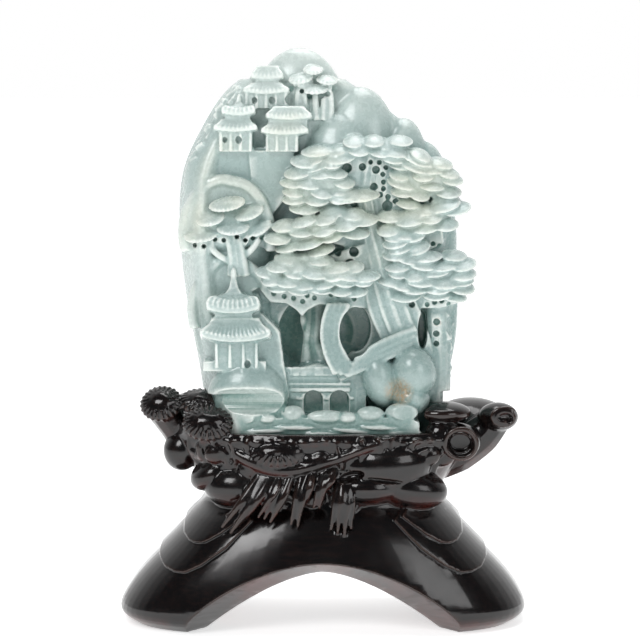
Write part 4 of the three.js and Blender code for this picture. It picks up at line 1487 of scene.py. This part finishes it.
    def carve_front(self, tool: Carver) -> None:
        """Sets the rocks, branch, needles and hanging roots on the front of the tray.

        Args:
            tool: Where the shapes are set.
        """
        tool.ball((31, -29, 85), (25, 16, 16), (0, -6, 0))
        tool.ball((21, -31, 74), (21, 14, 9))
        tool.ball((45, -28, 73), (19, 14, 11), (0, 10, 0))
        tool.copy(Master.FINE_NEEDLES, (-22.8, -39.5, 92.5), (14.5, 8, 5.6), (52, 0, 0))
        tool.ball((-44, -28, 74), (17, 14, 12))
        tool.ball((-57, -24, 80), (12, 13, 8), (0, -30, 0))
        tool.rod(
            [(-50, -34, 96), (-38, -39, 89), (-22, -41, 84), (4, -41.5, 89), (26, -42, 96.5), (36, -39, 97.5)],
            [2, 3.4, 3.2, 2.6, 2.0, 1],
        )
        draw = random.Random(9)
        # Middle top, middle foot, spread at the top and at the foot, number of strands.
        fans = (
            ((-26, -38, 84), (-45, -43, 54), 2.6, 4.2, 4),
            ((-17, -39, 84), (-30, -43.5, 60), 2.6, 3.0, 3),
            ((-7, -39, 85), (-13, -43, 58), 2.8, 3.4, 3),
            ((3, -39, 85), (-2, -43, 66), 2.8, 3.0, 3),
            ((12, -37, 84), (9, -43, 50), 2.6, 3.4, 4),
        )
        for top, foot, above, under, count in fans:
            for index in range(count):
                aside = index - (count - 1) / 2
                thick = draw.uniform(1.5, 2.5)
                high = (top[0] + aside * above, top[1], top[2])
                low = (foot[0] + aside * under, foot[1], foot[2] + draw.uniform(-3, 8))
                middle = [high[axis] * 0.5 + low[axis] * 0.5 + draw.uniform(-1, 1) for axis in range(3)]
                middle[1] = -44.5 + draw.uniform(-1, 1)
                tool.rod([high, middle, low], [thick, thick * 1.1, 0.8])
                beside = (middle[0] + 1.3, middle[1] - 1.4, middle[2])
                tool.rod([high, beside, (low[0] + 1.6, low[1], low[2] + 6)], [0.9, 0.9, 0.5])

    def carve_folds(self, tool: Carver) -> None:
        """Sets the bark folds, ledges and small knots between the rim and the waist.

        Args:
            tool: Where the shapes are set.
        """
        draw = random.Random(21)
        # The front is carved closely, the back with fewer and plainer folds.
        for face, folds, knots in ((1, 70, 26), (-1, 30, 16)):
            for _ in range(folds):
                x, height = draw.uniform(-70, 72), draw.uniform(67, 98)
                lean = math.radians(x * 0.8 + draw.uniform(-35, 35))
                length, bend, thick = draw.uniform(9, 22), draw.uniform(-4, 4), draw.uniform(1.2, 2.6)
                line = []
                for step in range(4):
                    along = (step / 3 - 0.5) * length
                    sideways = bend * (1 - (step / 1.5 - 1) ** 2)
                    level = min(100.0, max(62.0, height + along * math.cos(lean) - sideways * math.sin(lean)))
                    reach = 0.9 * self.half_width(level)
                    place = min(reach, max(-reach, x + along * math.sin(lean) + sideways * math.cos(lean)))
                    line.append((place, face * (self.front(place, level) - thick * 0.2), level))
                tool.rod(line, [0.8, thick, thick * 0.9, 0.6])
            for _ in range(knots):
                height, size = draw.uniform(68, 96), draw.uniform(2.5, 5.5) * (1 if face > 0 else 1.7)
                x = draw.uniform(-0.85, 0.85) * self.half_width(height)
                place = (x, face * self.front(x, height), height)
                tool.ball(place, (size * 1.3, size * 0.7, size), (0, draw.uniform(-40, 40), 0))
        # A rough lip of small stones under the foot of the carving.
        for index in range(22):
            x = -60 + index * 5.6
            place = (x, self.front(x, 99) + 1.2, 98.2 + draw.uniform(-0.8, 0.8))
            tool.ball(place, (draw.uniform(3.0, 5.0), 2.4, draw.uniform(1.6, 2.8)))

    def cut(self, tool: Carver) -> None:
        """Cuts the arch, the eye, the crevice, the ground and the pocket.

        Args:
            tool: Where the shapes are set.
        """

        def span(y: float, half: float, rise: float, power: float) -> list[Place]:
            """Returns the outline of the arch at one place front to back.

            Args:
                y: Place front to back.
                half: Half width of the arch.
                rise: Height of the arch.
                power: How full the arch is.

            Returns:
                Points along the arch.
            """
            steps = 40
            ring = [(-half, y, -10)]
            for step in range(steps + 1):
                share = step / steps * 2 - 1
                ring.append((share * half, y, rise * (1 - abs(share) ** power)))
            return ring + [(half, y, -10)]

        tool.loft([
            span(-60, 88, self.arch_rise, 2), span(-28, 60, self.arch_ceiling, 1.6),
            span(28, 60, self.arch_ceiling, 1.6), span(60, 88, self.arch_rise, 2),
        ])
        tool.hole((70, -34, 96.5), 5.6, 4.6, 6)
        tool.ball((14, -44, 81), (7, 6, 3), (0, -12, 0))
        tool.ball((33, -44, 78.5), (12, 3.5, 1.4), (0, 8, 0))
        tool.block((0, 0, -20), (140, 80, 20))
        plan = JadeMountain().seat_plan
        ring = []
        for index, (x, y) in enumerate(plan):
            before, after = Vector(plan[index - 1]), Vector(plan[(index + 1) % len(plan)])
            along = (after - before).normalized()
            ring.append((x + along.y * self.clearance, y - along.x * self.clearance))
        tool.loft([[(x, y, z) for x, y in ring] for z in (self.pocket_floor - self.pocket_gap, 140)])

    def build(self, finish: LacqueredRosewood) -> Item:
        """Carves the stand and returns it with its finish.

        Args:
            finish: The finish.

        Returns:
            The finished piece.
        """
        tool = Carver(0.0)
        self.carve_saddle(tool)
        self.carve_ends(tool)
        self.carve_front(tool)
        self.carve_folds(tool)
        whole = tool.fuse(self.voxel)
        tool.target = tool.cutters
        self.cut(tool)
        tool.cut_each(whole)
        apply_modifier(whole, "REMESH", mode="VOXEL", voxel_size=self.voxel * MM)
        skin = Skin(whole, "carved_stand")
        skin.soften(2, 0.5)
        skin.read_relief(24, 0.5)
        skin.thin_out(self.triangles)
        skin.finish(finish.build(), "rosewood_stand", "lacquered_wood")
        return skin.item


# The studio


@dataclass(frozen=True)
class Studio:
    """A white table, soft lights, and the camera at the photo's angle."""

    aim: tuple = (-1.56, 0.0, 156.2)
    distance: float = 1200.0
    elevation: float = 6.0
    frame_width: float = 332.8
    sensor: float = 36.0
    floor_size: float = 60.0
    floor_glow: float = 0.62
    # Name, place, size and power of each lamp.
    lamps: tuple = (
        ("key", (-420, -760, 820), 420, 4.6),
        ("fill", (560, -700, 420), 420, 1.6),
        ("top", (60, 60, 900), 500, 3.0),
    )

    def build(self) -> None:
        """Sets the floor, the lights, the world and the camera."""
        self.build_floor()
        self.build_world()
        for lamp in self.lamps:
            self.add_light(*lamp)
        self.add_camera()
        bpy.context.scene.view_settings.view_transform = "Standard"

    def build_floor(self) -> None:
        """Sets a wide white table top."""
        bpy.ops.mesh.primitive_plane_add(size=self.floor_size)
        floor = bpy.context.object
        floor.name = "white_table"
        material, tree, shader, spot = start_material("white paper")
        mottle = noise(tree, spot, Scale=300.0)
        tree.links.new(mix_colours(tree, mottle, "#fbfbfa", "#ffffff"), shader.inputs["Base Color"])
        # The table top glows a little, so it stays white in the picture.
        glow = {"Emission Color": (1, 1, 1, 1), "Emission Strength": self.floor_glow}
        set_inputs(shader, {"Roughness": 0.8, **glow})
        floor.data.materials.append(material)

    def build_world(self) -> None:
        """Lights the room white behind the object and grey in front of it, and shows it white all round."""
        world = bpy.data.worlds.new("white room")
        bpy.context.scene.world = world
        world.use_nodes = True
        tree = world.node_tree
        way = add_node(tree, "ShaderNodeTexCoord").outputs["Generated"]
        along = add_node(tree, "ShaderNodeSeparateXYZ", links={0: way}).outputs["Y"]
        tint = mix_colours(tree, ramp(tree, along, -0.2, 0.6), "#41474b", "#ffffff")
        seen = add_node(tree, "ShaderNodeLightPath").outputs["Is Camera Ray"]
        tree.links.new(mix_colours(tree, seen, tint, "#ffffff"), tree.nodes["Background"].inputs["Color"])
        tree.nodes["Background"].inputs["Strength"].default_value = 1.0

    def add_light(self, name: str, place: Place, size: float, power: float) -> None:
        """Adds a soft square lamp that looks at the middle of the object.

        Args:
            name: Its name.
            place: Where it stands.
            size: Width in millimetres.
            power: Its power in watts.
        """
        spot = Vector(place) * MM
        bpy.ops.object.light_add(type="AREA", location=spot)
        lamp = bpy.context.object
        lamp.name = name
        lamp.data.size = size * MM
        lamp.data.energy = power
        lamp.rotation_euler = (Vector((0, 0, 0.15)) - spot).to_track_quat("-Z", "Y").to_euler()

    def add_camera(self) -> None:
        """Sets the camera in front of the object, a little above it."""
        tilt = math.radians(self.elevation)
        spot = Vector(self.aim) + self.distance * Vector((0, -math.cos(tilt), math.sin(tilt)))
        bpy.ops.object.camera_add(location=spot * MM, rotation=(math.radians(90) - tilt, 0, 0))
        camera = bpy.context.object
        camera.data.sensor_width = self.sensor
        camera.data.lens = self.sensor * self.distance / self.frame_width
        bpy.context.scene.camera = camera


def main() -> None:
    """Builds the pieces in order and reports each."""
    logging.basicConfig(level=logging.INFO, format="%(message)s")
    bpy.ops.object.select_all(action="DESELECT")
    JadeMountain().build(PolishedJade())
    RosewoodStand().build(LacqueredRosewood())
    Carver.clear_masters()
    Studio().build()


if __name__ == "__main__":
    main()
